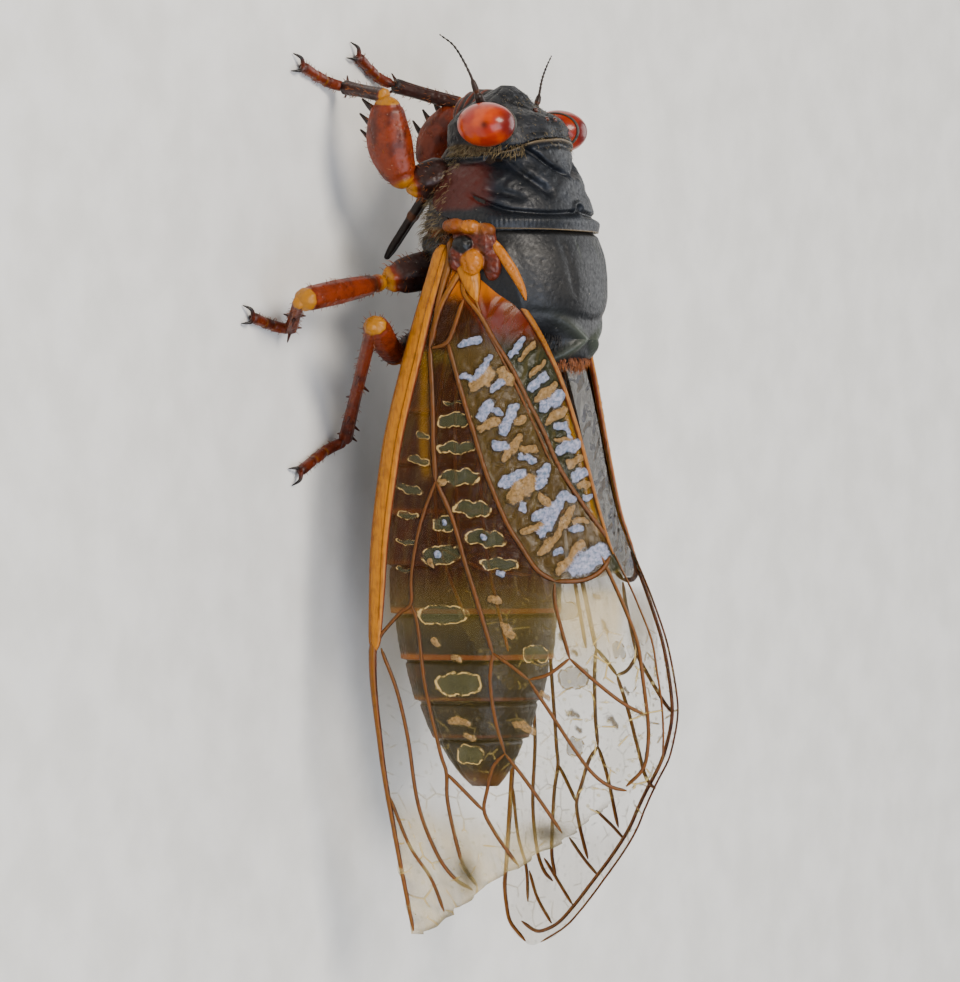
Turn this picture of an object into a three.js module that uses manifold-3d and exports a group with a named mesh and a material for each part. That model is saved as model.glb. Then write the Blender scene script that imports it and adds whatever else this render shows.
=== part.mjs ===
// Periodical cicada, a still life-size model in millimetres, +Z up, head towards -Y, left side towards +X.
// It stands on six feet on the plane z = 0, wings folded like a roof over the back.
// Inside this file "back" is the distance behind the front of the head and "out" the distance left of the
// midline. Every point is a THREE.Vector3 of (out, back, height).
import * as THREE from "three";
import { mergeVertices } from "three/addons/utils/BufferGeometryUtils.js";
import Module from "manifold-3d";

const wasm = await Module();
wasm.setup();

// Driving sizes
const JOINT_GAP = 0.3; // air left between neighbouring pieces
const BODY_SIDES = 28; // corners of one ring of the body
const TAIL_END = 31.9; // length of head, thorax and abdomen
const COLLAR_BACK = 6.7; // hind edge of the shield behind the head
const SCUTUM_BACK = 12.75; // hind edge of the domed back plate
const WING_THICK = 0.5;
const VEIN_PROUD = 0.22; // height of a vein's ridge over its membrane
const WING_TIP_BACK = 39.35;
const WING_ROOT_BACK = 6.9;
const REGION_SPAN = 24; // reach across of the blocks that part the body
const SHORTEST = 0.03; // edges under this are closed up after joining
const FLATTEST = 0.01; // least height of a triangle
const EYE = { out: 3.5, back: 1.95, height: 8.1, across: 1.2, along: 1.0, tall: 1.38, lean: 0.22 };

const { sin, cos, abs, sign, min, max, sqrt, PI, hypot, atan2, exp } = Math;
const at = (out, back, height) => new THREE.Vector3(out, back, height);
const ease = (t) => t * t * (3 - 2 * t);
const clamp01 = (t) => min(1, max(0, t));
const bump = (x, middle, width) => exp(-(((x - middle) / width) ** 2));

// A smooth curve through [position, value] pairs, which never swings past them.
function track(pairs) {
  const last = pairs.length - 1;
  const slope = (i) => (pairs[i + 1][1] - pairs[i][1]) / (pairs[i + 1][0] - pairs[i][0]);
  const tangent = (i) => {
    if (i === 0) return slope(0);
    if (i === last) return slope(last - 1);
    const [a, b] = [slope(i - 1), slope(i)];
    return a * b <= 0 ? 0 : (2 * a * b) / (a + b);
  };
  return (x) => {
    if (x <= pairs[0][0]) return pairs[0][1];
    if (x >= pairs[last][0]) return pairs[last][1];
    const i = pairs.findIndex((p) => p[0] > x) - 1;
    const run = pairs[i + 1][0] - pairs[i][0];
    const t = (x - pairs[i][0]) / run;
    const rise = pairs[i + 1][1] - pairs[i][1];
    const bend = (tangent(i) * (1 - t) * (1 - t) * t - tangent(i + 1) * t * t * (1 - t)) * run;
    return pairs[i][1] + rise * ease(t) + bend;
  };
}

// Solids

// A closed three.js geometry as a manifold-3d solid.
function solid(geometry) {
  const bare = geometry.index ? geometry.toNonIndexed() : geometry.clone();
  for (const name of Object.keys(bare.attributes)) {
    if (name !== "position") bare.deleteAttribute(name);
  }
  const merged = mergeVertices(bare, 1e-4);
  const corners = merged.index.array;
  const kept = [];
  for (let i = 0; i < corners.length; i += 3) {
    const [a, b, c] = [corners[i], corners[i + 1], corners[i + 2]];
    if (a !== b && b !== c && c !== a) kept.push(a, b, c);
  }
  const vertProperties = merged.attributes.position.array;
  return new wasm.Manifold(new wasm.Mesh({ numProp: 3, vertProperties, triVerts: new Uint32Array(kept) }));
}

// The largest closed surface of a solid, without loose scraps.
function largest(shape) {
  return shape.decompose().reduce((best, piece) => (piece.volume() > best.volume() ? piece : best));
}

function joined(pieces) {
  return pieces.reduce((all, piece) => all.add(piece));
}

function trimmed(shape, cutters) {
  return largest(cutters.reduce((left, cutter) => left.subtract(cutter), shape));
}

// The same surface without the specks that joining leaves: edges under SHORTEST are closed up, and a triangle
// whose corner lies on its longest side is turned into its neighbour.
function tidied(shape) {
  const mesh = shape.getMesh();
  const triples = (list) => Array.from({ length: list.length / 3 }, (_, i) => [...list.slice(3 * i, 3 * i + 3)]);
  const points = triples(mesh.vertProperties).map((p) => at(...p));
  const faces = triples(mesh.triVerts);
  const around = points.map(() => new Set());
  faces.forEach((face, index) => face.forEach((corner) => around[corner].add(index)));
  const upright = ([a, b, c]) => {
    const ab = points[b].clone().sub(points[a]);
    return ab.cross(points[c].clone().sub(points[a]));
  };
  const ring = (corner) => new Set([...around[corner]].flatMap((f) => faces[f]).filter((c) => c !== corner));
  const replaceFace = (index, corners) => {
    faces[index].forEach((corner) => around[corner].delete(index));
    faces[index] = corners;
    if (corners) corners.forEach((corner) => around[corner].add(index));
  };

  function closeUp(from, to) {
    const gone = [...around[from]].filter((f) => faces[f].includes(to));
    const toRing = ring(to);
    if (gone.length !== 2 || [...ring(from)].filter((c) => toRing.has(c)).length !== 2) return false;
    const kept = [...around[from]].filter((f) => !gone.includes(f));
    const moved = kept.map((f) => faces[f].map((corner) => (corner === from ? to : corner)));
    const turnsOver = (corners, i) => upright(corners).dot(upright(faces[kept[i]])) < 0;
    if (moved.some(turnsOver)) return false;
    gone.forEach((f) => replaceFace(f, null));
    kept.forEach((f, i) => replaceFace(f, moved[i]));
    return true;
  }

  function turn(index) {
    const [a, b, c] = longestFirst(faces[index], points);
    const other = [...around[a]].find((f) => f !== index && faces[f].includes(b));
    const d = faces[other].find((corner) => corner !== a && corner !== b);
    if (ring(c).has(d)) return false;
    const halves = [[a, d, c], [d, b, c]];
    if (halves.some((half) => upright(half).dot(upright(faces[other])) <= 0)) return false;
    replaceFace(index, halves[0]);
    replaceFace(other, halves[1]);
    return true;
  }

  const worked = (index) => {
    if (!faces[index]) return false;
    const [a, b, c] = longestFirst(faces[index], points);
    const sides = [[a, b], [b, c], [c, a]];
    const [from, to] = sides.reduce((best, side) => (span(side, points) < span(best, points) ? side : best));
    if (span([from, to], points) < SHORTEST) return closeUp(from, to) || closeUp(to, from);
    const height = upright([a, b, c]).length() / span([a, b], points);
    return height < FLATTEST && turn(index);
  };
  for (let pass = 0; pass < 8; pass++) {
    if (!faces.map((_, index) => worked(index)).includes(true)) break;
  }

  const left = faces.filter(Boolean);
  const vertProperties = new Float32Array(points.flatMap((p) => p.toArray()));
  return new wasm.Manifold(
    new wasm.Mesh({ numProp: 3, vertProperties, triVerts: new Uint32Array(left.flat()) }),
  );
}

const span = ([a, b], points) => points[a].distanceTo(points[b]);

// A triangle's corners in order, turned so that its longest side comes first.
function longestFirst([a, b, c], points) {
  const turns = [[a, b, c], [b, c, a], [c, a, b]];
  return turns.reduce((best, corners) => (span(corners, points) > span(best, points) ? corners : best));
}

// A cylinder reshaped by place(x, z, step), where (x, z) lies in the unit disc, and closed at both ends.
function reshapedTube(sides, steps, place) {
  const tube = new THREE.CylinderGeometry(1, 1, steps, sides, steps);
  const spots = tube.attributes.position;
  for (let i = 0; i < spots.count; i++) {
    const step = Math.round(steps / 2 - spots.getY(i));
    const moved = place(spots.getX(i), spots.getZ(i), step);
    spots.setXYZ(i, moved.x, moved.y, moved.z);
  }
  return outward(solid(tube));
}

// The same solid with its faces pointing out.
function outward(shape) {
  if (shape.volume() >= 0) return shape;
  const mesh = shape.getMesh();
  const flipped = new Uint32Array(mesh.triVerts);
  for (let i = 0; i < flipped.length; i += 3) {
    [flipped[i + 1], flipped[i + 2]] = [flipped[i + 2], flipped[i + 1]];
  }
  return new wasm.Manifold(
    new wasm.Mesh({ numProp: 3, vertProperties: mesh.vertProperties, triVerts: flipped }),
  );
}

// A limb that follows points, with [share of its length, radius] pairs and rounded ends, flattened across if asked.
function limb(points, radii, { sides = 8, steps = 8, grow = 0, flat = 1 } = {}) {
  const path = points.length > 2 ? new THREE.CatmullRomCurve3(points) : new THREE.LineCurve3(...points);
  const radiusAt = track(radii);
  const length = path.getLength();
  const up = at(0, 0, 1);
  const rounding = (distance, radius) => sqrt(max(0.3, 1 - max(0, 1 - distance / radius) ** 2));
  return reshapedTube(sides, steps, (x, z, step) => {
    const share = steps < 4 ? step / steps : (1 - cos((PI * step) / steps)) / 2;
    const along = path.getTangentAt(share);
    const side = new THREE.Vector3().crossVectors(along, up).normalize();
    const rise = new THREE.Vector3().crossVectors(side, along);
    const plain = radiusAt(share);
    const round = steps < 4 ? 1 : rounding(min(share, 1 - share) * length, plain);
    const radius = plain * round + grow;
    const past = step === 0 ? -grow : step === steps ? grow : 0;
    return path
      .getPointAt(share)
      .addScaledVector(along, past)
      .addScaledVector(side, x * radius * flat)
      .addScaledVector(rise, z * radius);
  });
}

function spine(root, tip, radius) {
  return limb([root, tip], [[0, radius], [1, 0.06]], { sides: 5, steps: 1 });
}

// A sphere stretched to three half sizes, turned about the long axis and moved.
function ball({ centre, half, turn = 0, tip = 0, around = 18, grow = 0 }) {
  const shape = new THREE.SphereGeometry(1, around, Math.round(around / 2));
  shape.rotateX(PI / 2);
  shape.scale(half.x + grow, half.y + grow, half.z + grow);
  shape.rotateY(turn);
  shape.rotateX(tip);
  shape.translate(centre.x, centre.y, centre.z);
  return solid(shape);
}

// A prism right across the body, from its corners in the side view as [back, height].
function sideRegion(corners) {
  const profile = new THREE.Shape(corners.map(([back, height]) => new THREE.Vector2(back, height)));
  const prism = new THREE.ExtrudeGeometry(profile, { depth: REGION_SPAN, bevelEnabled: false });
  prism.translate(0, 0, -REGION_SPAN / 2);
  prism.applyMatrix4(new THREE.Matrix4().makeBasis(at(0, 1, 0), at(0, 0, 1), at(1, 0, 0)));
  return outward(solid(prism));
}

// Body

const halfWidth = track([
  [0, 0.5], [0.3, 1.1], [0.9, 2.25], [1.4, 2.95], [1.9, 3.25], [2.9, 3.2], [3.3, 3.1], [4.4, 3.8], [5.6, 4.35],
  [6.6, 4.8], [6.9, 4.5], [8.2, 4.55], [9.6, 4.4], [11, 3.8], [12.4, 3.2], [13.2, 3.8], [16, 4.0], [20, 4.1],
  [23, 3.9], [26.3, 3.3], [28.5, 2.6], [30.6, 1.7], [31.5, 1.1], [TAIL_END, 0.6],
]);
const topHeight = track([
  [0, 7.6], [0.3, 7.95], [0.9, 8.4], [1.5, 9.5], [1.9, 9.85], [2.5, 10.05], [3.3, 10.2], [4.4, 10.65], [5.6, 11.0],
  [6.6, 11.15],
  [8, 11.65], [9.6, 11.8], [11, 11.55], [12.3, 11.2], [12.7, 10.7], [13.1, 9.7], [16, 9.75],
  [20, 9.6], [23, 9.45], [26.3, 9.0], [29, 8.2], [31, 7.4], [TAIL_END, 6.8],
]);
const bottomHeight = track([
  [0, 7.1], [0.3, 6.7], [0.9, 5.95], [1.4, 5.3], [1.9, 4.9], [2.9, 4.8], [3.8, 4.4], [5, 4.0], [7, 3.7], [10, 3.6], [12.6, 3.4],
  [14, 2.8], [16, 2.2], [18, 1.9], [20, 1.8], [23, 1.95], [26.3, 2.6], [28.5, 3.4], [31, 4.8], [TAIL_END, 5.6],
]);

// Hind edges of the abdomen's rings.
const RING_EDGES = [14.9, 17.2, 19.5, 21.8, 24.0, 26.1, 28.0, 29.7];
const RING_STEP = 0.16;

// How far the body's skin stands out of its plain outline, at an angle of 0 on the left and a quarter turn on top.
function relief(back, angle) {
  const top = max(0, sin(angle));
  const side = abs(cos(angle));
  let height = 0;
  if (back > 3.3 && back < COLLAR_BACK) {
    const lobeFold = bump(back, 4.3 - 1.4 * side, 0.32) * bump(side, 0.45, 0.3);
    const rearFold = bump(back, 6.2 - 2.6 * side, 0.3) * bump(side, 0.74, 0.25);
    const collarRoll = bump(back, 6.35, 0.35);
    height += (0.26 * collarRoll - 0.3 * lobeFold - 0.26 * rearFold) * ease(top);
  }
  if (back > 10.2 && back < 13.2) {
    const armSide = 0.12 + 0.5 * abs(back - 11.6) / 1.3;
    const cross = bump(side, armSide, 0.16);
    const hollow = bump(back, 11.9, 0.8) * bump(side, 0.62, 0.22);
    height += (0.35 * cross * bump(back, 11.8, 0.9) - 0.5 * hollow) * top;
  }
  for (const edge of RING_EDGES) {
    const before = edge - back;
    if (before >= 0 && before < 1.9) height += RING_STEP * (1 - before / 1.9);
  }
  return height;
}

// A point on the skin, where share is 1 on the skin and 0 on the body's axis.
function bodyPoint(back, angle, share, grow) {
  const middle = (topHeight(back) + bottomHeight(back)) / 2;
  const tall = (topHeight(back) - bottomHeight(back)) / 2;
  const wide = halfWidth(back);
  const round = 0.92;
  const out = wide * sign(cos(angle)) * abs(cos(angle)) ** round;
  const rise = tall * sign(sin(angle)) * abs(sin(angle)) ** round;
  const reach = hypot(out, rise);
  const scale = (share * (reach + relief(back, angle) + grow)) / reach;
  return at(out * scale, back, middle + rise * scale);
}

function bodyRings() {
  const rings = [0, 0.12, 0.35, 0.75, 1.3, 2.0, 2.7, 3.3, 3.7, 4.1, 4.5, 5.0, 5.5, 6.0, 6.35, 6.7];
  rings.push(7.2, 8.1, 9.2, 10.2, 10.9, 11.4, 11.9, 12.3, 12.7, 13.1);
  for (const edge of RING_EDGES) rings.push(edge, edge + 0.12);
  rings.push(31.0, 31.5, TAIL_END);
  return rings;
}

function wholeBody(grow) {
  const rings = bodyRings();
  const last = rings.length - 1;
  const ends = { 0: -grow, [last]: grow };
  return reshapedTube(BODY_SIDES, last, (x, z, step) => {
    const point = bodyPoint(rings[step], atan2(z, x), hypot(x, z), grow);
    point.y += ends[step] || 0;
    return point;
  });
}

const body = wholeBody(0);
const bodyGrown = wholeBody(JOINT_GAP);

function eyeBall(outSign, grow, around = 18) {
  const centre = at(outSign * EYE.out, EYE.back, EYE.height);
  const half = at(EYE.across, EYE.along, EYE.tall);
  return ball({ centre, half, turn: outSign * EYE.lean, grow, around });
}

// Face: the swollen plate below the forehead, with the cross ribs of the sucking pump.
const FACE = { back: 1.55, height: 6.5, across: 1.6, along: 1.4, tall: 1.75 };

function facePlate(grow) {
  const centre = at(0, FACE.back, FACE.height);
  const plate = ball({ centre, half: at(FACE.across, FACE.along, FACE.tall), around: 20, tip: -0.3, grow });
  const ribs = [];
  for (let i = 0; i < 6; i++) {
    const height = FACE.height - 1.3 + i * 0.5;
    const level = (height - FACE.height) / FACE.tall;
    const reach = Math.sqrt(1 - level * level);
    const front = FACE.back - FACE.along * reach * 0.98 - 0.35 * level * 1.2;
    const ends = at(FACE.across * reach * 0.72, FACE.back - FACE.along * reach * 0.55, height + 0.15);
    const mirrored = at(-ends.x, ends.y, ends.z);
    ribs.push(limb([ends, at(0, front, height), mirrored], [[0, 0.12], [0.5, 0.17], [1, 0.12]], { sides: 4, steps: 4 }));
  }
  return grow ? plate : joined([plate, ...ribs]);
}

const ROSTRUM = [at(0, 2.5, 5.1), at(0, 4.1, 3.75), at(0, 7.8, 1.0)];
const rostrum = (grow) => limb(ROSTRUM, [[0, 0.62], [0.3, 0.42], [0.9, 0.3], [1, 0.16]], { grow, steps: 7 });

function antenna(outSign) {
  const root = outSign > 0 ? at(2.1, 1.3, 7.3) : at(-2.1, 1.3, 7.4);
  const route = outSign > 0
    ? [at(2.65, 0.5, 7.2), at(2.95, -0.45, 6.95), at(3.2, -1.6, 6.35), at(3.4, -2.2, 5.65)]
    : [at(-2.65, 0.6, 7.5), at(-2.9, -0.4, 7.6), at(-3.05, -1.0, 7.75), at(-3.2, -1.55, 7.95)];
  return limb([root, ...route], [[0, 0.42], [0.3, 0.38], [0.42, 0.27], [1, 0.07]], { sides: 6, steps: 9 });
}

// Regions of the side view that part the body, each JOINT_GAP from the next.
const HALF_GAP = JOINT_GAP / 2;
const FLANK_HEIGHT = 7.3; // where the back plates end on the flank
const regions = {
  head: [[-3, 0], [3.15, 0], [3.15, 14], [-3, 14]],
  pronotum: [
    [3.15 + JOINT_GAP, 5.6], [5.2, 5.6], [COLLAR_BACK - 0.9, FLANK_HEIGHT - 1.3], [COLLAR_BACK - HALF_GAP, 8.2],
    [COLLAR_BACK - HALF_GAP, 14], [3.15 + JOINT_GAP, 14],
  ],
  scutum: [
    [COLLAR_BACK + HALF_GAP, FLANK_HEIGHT], [10.6, FLANK_HEIGHT], [11.0 - HALF_GAP, 8.6], [10.9 - HALF_GAP, 14],
    [COLLAR_BACK + HALF_GAP, 14],
  ],
  scutellum: [
    [11.0 + HALF_GAP, 8.6], [SCUTUM_BACK - HALF_GAP, 9.3], [SCUTUM_BACK - HALF_GAP, 14], [10.9 + HALF_GAP, 14],
  ],
  thorax: [
    [3.15 + JOINT_GAP, 0], [12.6, 0], [12.6, 8.9], [11.0, 8.6 - JOINT_GAP], [10.6, FLANK_HEIGHT - JOINT_GAP],
    [COLLAR_BACK, FLANK_HEIGHT - JOINT_GAP], [COLLAR_BACK - 0.75, FLANK_HEIGHT - 1.3 - JOINT_GAP],
    [5.2, 5.6 - JOINT_GAP], [3.15 + JOINT_GAP, 5.6 - JOINT_GAP],
  ],
  abdomen: [[12.6 + JOINT_GAP, 0], [28.1 - HALF_GAP, 0], [28.1 - HALF_GAP, 14], [12.6 + JOINT_GAP, 14]],
  abdomen_tip: [[28.1 + HALF_GAP, 0], [33, 0], [33, 14], [28.1 + HALF_GAP, 14]],
};

const LEFT = 1;
const RIGHT = -1;
const bodyPart = (name) => largest(body.intersect(sideRegion(regions[name])));

// Wings: a point of a wing is "back" along the body and "across" from its front edge.

const frontEdge = {
  out: track([
    [6.4, 4.2], [7, 4.55], [9, 5.1], [13, 5.95], [17, 6.5], [22, 6.8], [26, 6.8], [30, 6.4], [34, 5.5], [38.4, 4.3],
  ]),
  height: track([
    [6.4, 6.6], [7, 6.4], [9, 5.95], [13, 5.1], [17, 4.4], [22, 4.0], [26, 3.95], [30, 4.15], [34, 4.4], [38.4, 4.7],
  ]),
};
const roofLean = track([
  [7, 0.5], [7.9, 0.47], [9.8, 0.42], [12.5, 0.64], [14.3, 0.64], [16.1, 0.63], [19.3, 0.6], [20.9, 0.57],
  [25.7, 0.49], [28, 0.465], [30.2, 0.45], [39, 0.36],
]);
const roofBulge = track([[7, 0.25], [9, 0.5], [12, 1.0], [16, 1.3], [26, 1.0], [33, 0.6], [39, 0.1]]);

const wholeWing = {
  far: track([
    [6.9, 1.5], [7.9, 2.2], [9.8, 4.3], [12.5, 6.75], [16.1, 8.9], [20.9, 10.8], [23.4, 12.0], [25.7, 12.7], [28, 12.9],
    [30.2, 12.2], [31.8, 10.9], [33.5, 9.6], [36.1, 6.9], [38, 4.9], [38.9, 3.6], [WING_TIP_BACK, 2.3],
  ]),
  near: track([[6.9, 0], [36.6, 0], [38, 0.35], [38.9, 1.0], [WING_TIP_BACK, 1.9]]),
  end: WING_TIP_BACK,
};
// The left wing's outer edge is creased and worn back to a slant.
const wornWing = {
  far: track([
    [6.9, 1.5], [7.9, 2.2], [9.8, 4.3], [12.5, 6.75], [16.1, 8.9], [20.9, 10.8], [23.4, 12.0], [25.7, 12.8], [28, 13.0],
    [30.2, 12.8], [31.3, 12.2], [32, 11.0], [33.7, 8.6], [35.3, 5.8], [36.4, 3.9], [37.6, 2.1], [38.45, 0.7],
  ]),
  near: track([[6.9, 0], [38.45, 0]]),
  end: 38.45,
};
// The hind wing lies folded under the front wing, and ends well short of its tip.
const hindWing = {
  far: track([[8.2, 1.9], [10, 3.6], [13, 5.2], [17, 7.0], [21, 8.4], [24, 8.8], [26, 8.3], [27.4, 6.9]]),
  near: track([[8.2, 0.9], [10, 1.0], [13, 1.3], [17, 1.8], [21, 2.6], [24, 3.8], [26, 5.0], [27.4, 6.1]]),
  end: 27.4,
};

// A point of the wing's sheet, lifted along the sheet's normal.
function wingPoint(outSign, back, across, lift) {
  const spot = (b, a) => {
    const lean = roofLean(b);
    const width = wholeWing.far(min(b, 33));
    const swell = roofBulge(b) * sin(PI * clamp01(a / width)) ** 0.8;
    return at(
      frontEdge.out(b) - sin(lean) * a + cos(lean) * swell,
      b,
      frontEdge.height(b) + cos(lean) * a + sin(lean) * swell,
    );
  };
  const small = 0.05;
  const here = spot(back, across);
  const alongBody = spot(back + small, across).sub(spot(back - small, across));
  const acrossWing = spot(back, across + small).sub(spot(back, max(0, across - small)));
  const normal = new THREE.Vector3().crossVectors(alongBody, acrossWing).normalize();
  here.addScaledVector(normal, lift * sign(normal.x || 1));
  here.x *= outSign;
  return here;
}

// A closed sheet over the outline, with the same triangles on both faces.
function membrane(outline, outSign, lift, rows, columns, start) {
  const spots = [];
  const faces = [];
  const level = (row, column, face) => 2 * (row * (columns + 1) + column) + face;
  for (let row = 0; row <= rows; row++) {
    const back = start + (outline.end - start) * (1 - (1 - row / rows) ** 1.15);
    for (let column = 0; column <= columns; column++) {
      const across = outline.near(back) + ((outline.far(back) - outline.near(back)) * column) / columns;
      for (const face of [-1, 1]) {
        spots.push(...wingPoint(outSign, back, across, lift + (face * WING_THICK) / 2).toArray());
      }
    }
  }
  const quad = (a, b, c, d) => faces.push(a, b, c, a, c, d);
  for (let row = 0; row < rows; row++) {
    for (let column = 0; column < columns; column++) {
      const next = [level(row, column, 1), level(row + 1, column, 1), level(row + 1, column + 1, 1)];
      quad(...next, level(row, column + 1, 1));
      quad(level(row, column + 1, 0), level(row + 1, column + 1, 0), level(row + 1, column, 0), level(row, column, 0));
    }
    quad(level(row, 0, 0), level(row + 1, 0, 0), level(row + 1, 0, 1), level(row, 0, 1));
    quad(level(row, columns, 1), level(row + 1, columns, 1), level(row + 1, columns, 0), level(row, columns, 0));
  }
  for (let column = 0; column < columns; column++) {
    quad(level(0, column, 1), level(0, column + 1, 1), level(0, column + 1, 0), level(0, column, 0));
    quad(level(rows, column, 0), level(rows, column + 1, 0), level(rows, column + 1, 1), level(rows, column, 1));
  }
  const sheet = new THREE.BufferGeometry();
  sheet.setAttribute("position", new THREE.Float32BufferAttribute(spots, 3));
  sheet.setIndex(faces);
  return outward(solid(sheet));
}

// A vein's ridge: a strip of four corners that follows [back, across] points and is sunk into the sheet.
function vein(outline, outSign, lift, points, width, spacing = 2.8) {
  const route = new THREE.SplineCurve(points.map(([back, across]) => new THREE.Vector2(back, across)));
  const steps = max(2, Math.round(route.getLength() / spacing));
  return reshapedTube(4, steps, (x, z, step) => {
    const share = step / steps;
    const spot = route.getPointAt(share);
    const along = route.getTangentAt(share);
    const inside = (value) => min(outline.far(spot.x) - 0.12, max(outline.near(spot.x) + 0.05, value));
    const back = spot.x - along.y * x * width * 0.5;
    const across = inside(spot.y) + along.x * x * width * 0.5;
    const rise = z > 0 ? WING_THICK / 2 + VEIN_PROUD * z : (WING_THICK / 2) * (1 + 1.2 * z);
    return wingPoint(outSign, back, across, lift + rise * (abs(z) > 0.01 ? 1 : 0.5));
  });
}

// Veins of the front wing, as [back, across] in millimetres from the front of the head and the front edge.
const FINE = 0.42;
const STOUT = 0.62;
const frontVeins = [
  { name: "stem", width: STOUT, points: [[8.2, 1.5], [10.2, 1.0], [12, 0.95]] },
  { name: "median", width: FINE, points: [[12, 0.95], [14.7, 1.9], [18, 2.5]] },
  { name: "median_fork_front", width: FINE, points: [[18, 2.5], [20.5, 2.2], [23.5, 1.75], [25.5, 0.4]] },
  { name: "median_front", width: FINE, points: [[23.5, 1.85], [26.2, 2.5], [29, 2.9], [31.1, 3.0]] },
  { name: "median_fork_rear", width: FINE, points: [[18, 2.5], [20, 3.8], [23, 4.9], [25.7, 5.5]] },
  { name: "median_rear", width: FINE, points: [[25.7, 5.5], [28, 5.3], [30.2, 5.1]] },
  { name: "cell_link", width: FINE, points: [[25.7, 5.5], [26.9, 7.1], [26, 8.9]] },
  { name: "arch", width: FINE, points: [[8.4, 1.6], [11, 1.2], [12.1, 1.1]] },
  { name: "cubitus", width: FINE, points: [[11.8, 1.6], [15.5, 3.9], [19.8, 5.9], [22.5, 8.2], [22.2, 10.2], [21.2, 10.9]] },
  { name: "cubitus_rear", width: FINE, points: [[22.5, 8.2], [24.5, 8.4], [26, 8.9]] },
  { name: "fold", width: STOUT, points: [[8.4, 1.6], [10.4, 3.0], [14, 5.2], [18, 8.0], [20.6, 10.4]] },
  { name: "hind_edge", width: STOUT, points: [[7.9, 1.9], [9.8, 4.0], [12.5, 6.5], [16.1, 8.9], [20.9, 10.7]] },
  { name: "branch_1", width: FINE, points: [[26.9, 7.1], [29.2, 8.8], [32, 11.0]] },
  { name: "branch_2", width: FINE, points: [[26, 8.9], [27.4, 10.6], [28.6, 12.1]] },
  { name: "branch_3", width: FINE, points: [[30.2, 5.1], [32.2, 6.3], [33.8, 7.9]] },
  { name: "branch_4", width: FINE, points: [[30.2, 5.1], [31.6, 4.6], [32.9, 4.2], [35.3, 5.5]] },
  { name: "branch_5", width: FINE, points: [[31.1, 3.0], [33, 3.0], [35.8, 3.2]] },
  { name: "branch_6", width: FINE, points: [[31.1, 3.0], [32, 3.7], [32.9, 4.2]] },
  { name: "branch_7", width: FINE, points: [[25.5, 0.4], [27.5, 1.1], [30, 1.45], [33, 1.4], [35.9, 2.0]] },
  { name: "branch_8", width: FINE, points: [[32.2, 0.3], [34.5, 0.75], [36.6, 1.3]] },
];
// The outer vein runs just inside the edge of the wing's tip.
const outerVein = (outline) => ({
  width: FINE,
  points: [21.2, 23.5, 25.7, 28, 30.2, 31.3].map((back) => [back, outline.far(back) - 0.75]),
});
const tipVein = (outline) => ({
  width: FINE,
  points: [31.3, 33, 34.8, 36.4, 37.8].map((back) => [back, max(0.4, outline.far(back) - 0.75)]),
});
const hindVeins = [
  { name: "hind_front", width: FINE, points: [[9, 1.3], [13, 1.6], [17, 2.1], [21, 2.9], [24, 4.1]] },
  { name: "hind_median", width: FINE, points: [[9.4, 1.8], [14, 3.4], [18, 4.5], [22, 5.3], [25.6, 6.2]] },
  { name: "hind_rear", width: FINE, points: [[9.6, 2.2], [14, 4.7], [18, 6.2], [22, 7.4]] },
  { name: "hind_link", width: FINE, points: [[21, 2.9], [21.6, 4.2], [22, 5.3], [22, 7.4]] },
];

function frontWing(outSign, outline) {
  const sheet = membrane(outline, outSign, 0, 20, 6, WING_ROOT_BACK);
  const ridges = frontVeins.map((v) => vein(outline, outSign, 0, v.points, v.width));
  ridges.push(vein(outline, outSign, 0, outerVein(outline).points, FINE));
  ridges.push(vein(outline, outSign, 0, tipVein(outline).points, FINE));
  const edgePoints = [7, 9, 12, 16, 20, 24, 28, 31.5, 35, outline.end - 0.6].map((back) =>
    wingPoint(outSign, back, outline.near(back) + 0.1, 0),
  );
  const edge = limb(edgePoints, [[0, 0.5], [0.55, 0.5], [0.65, 0.36], [1, 0.3]], { sides: 6, steps: 14 });
  const shoulder = limb(
    [at(outSign * 3.6, 7.4, 7.6), at(outSign * 4.75, 7.9, 7.5), at(outSign * 4.9, 9.2, 7.8)],
    [[0, 0.95], [0.5, 0.8], [1, 0.3]],
    { steps: 5 },
  );
  return trimmed(joined([sheet, edge, shoulder, ...ridges]), [bodyGrown]);
}

const HIND_DEPTH = -1.06; // how far the hind wing lies under the front one

function hindWingSolid(outSign) {
  const sheet = membrane(hindWing, outSign, HIND_DEPTH, 10, 3, 8.2);
  const ridges = hindVeins.map((v) => vein(hindWing, outSign, HIND_DEPTH, v.points, v.width, 2.4));
  return trimmed(joined([sheet, ...ridges]), [bodyGrown]);
}

// Legs

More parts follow.
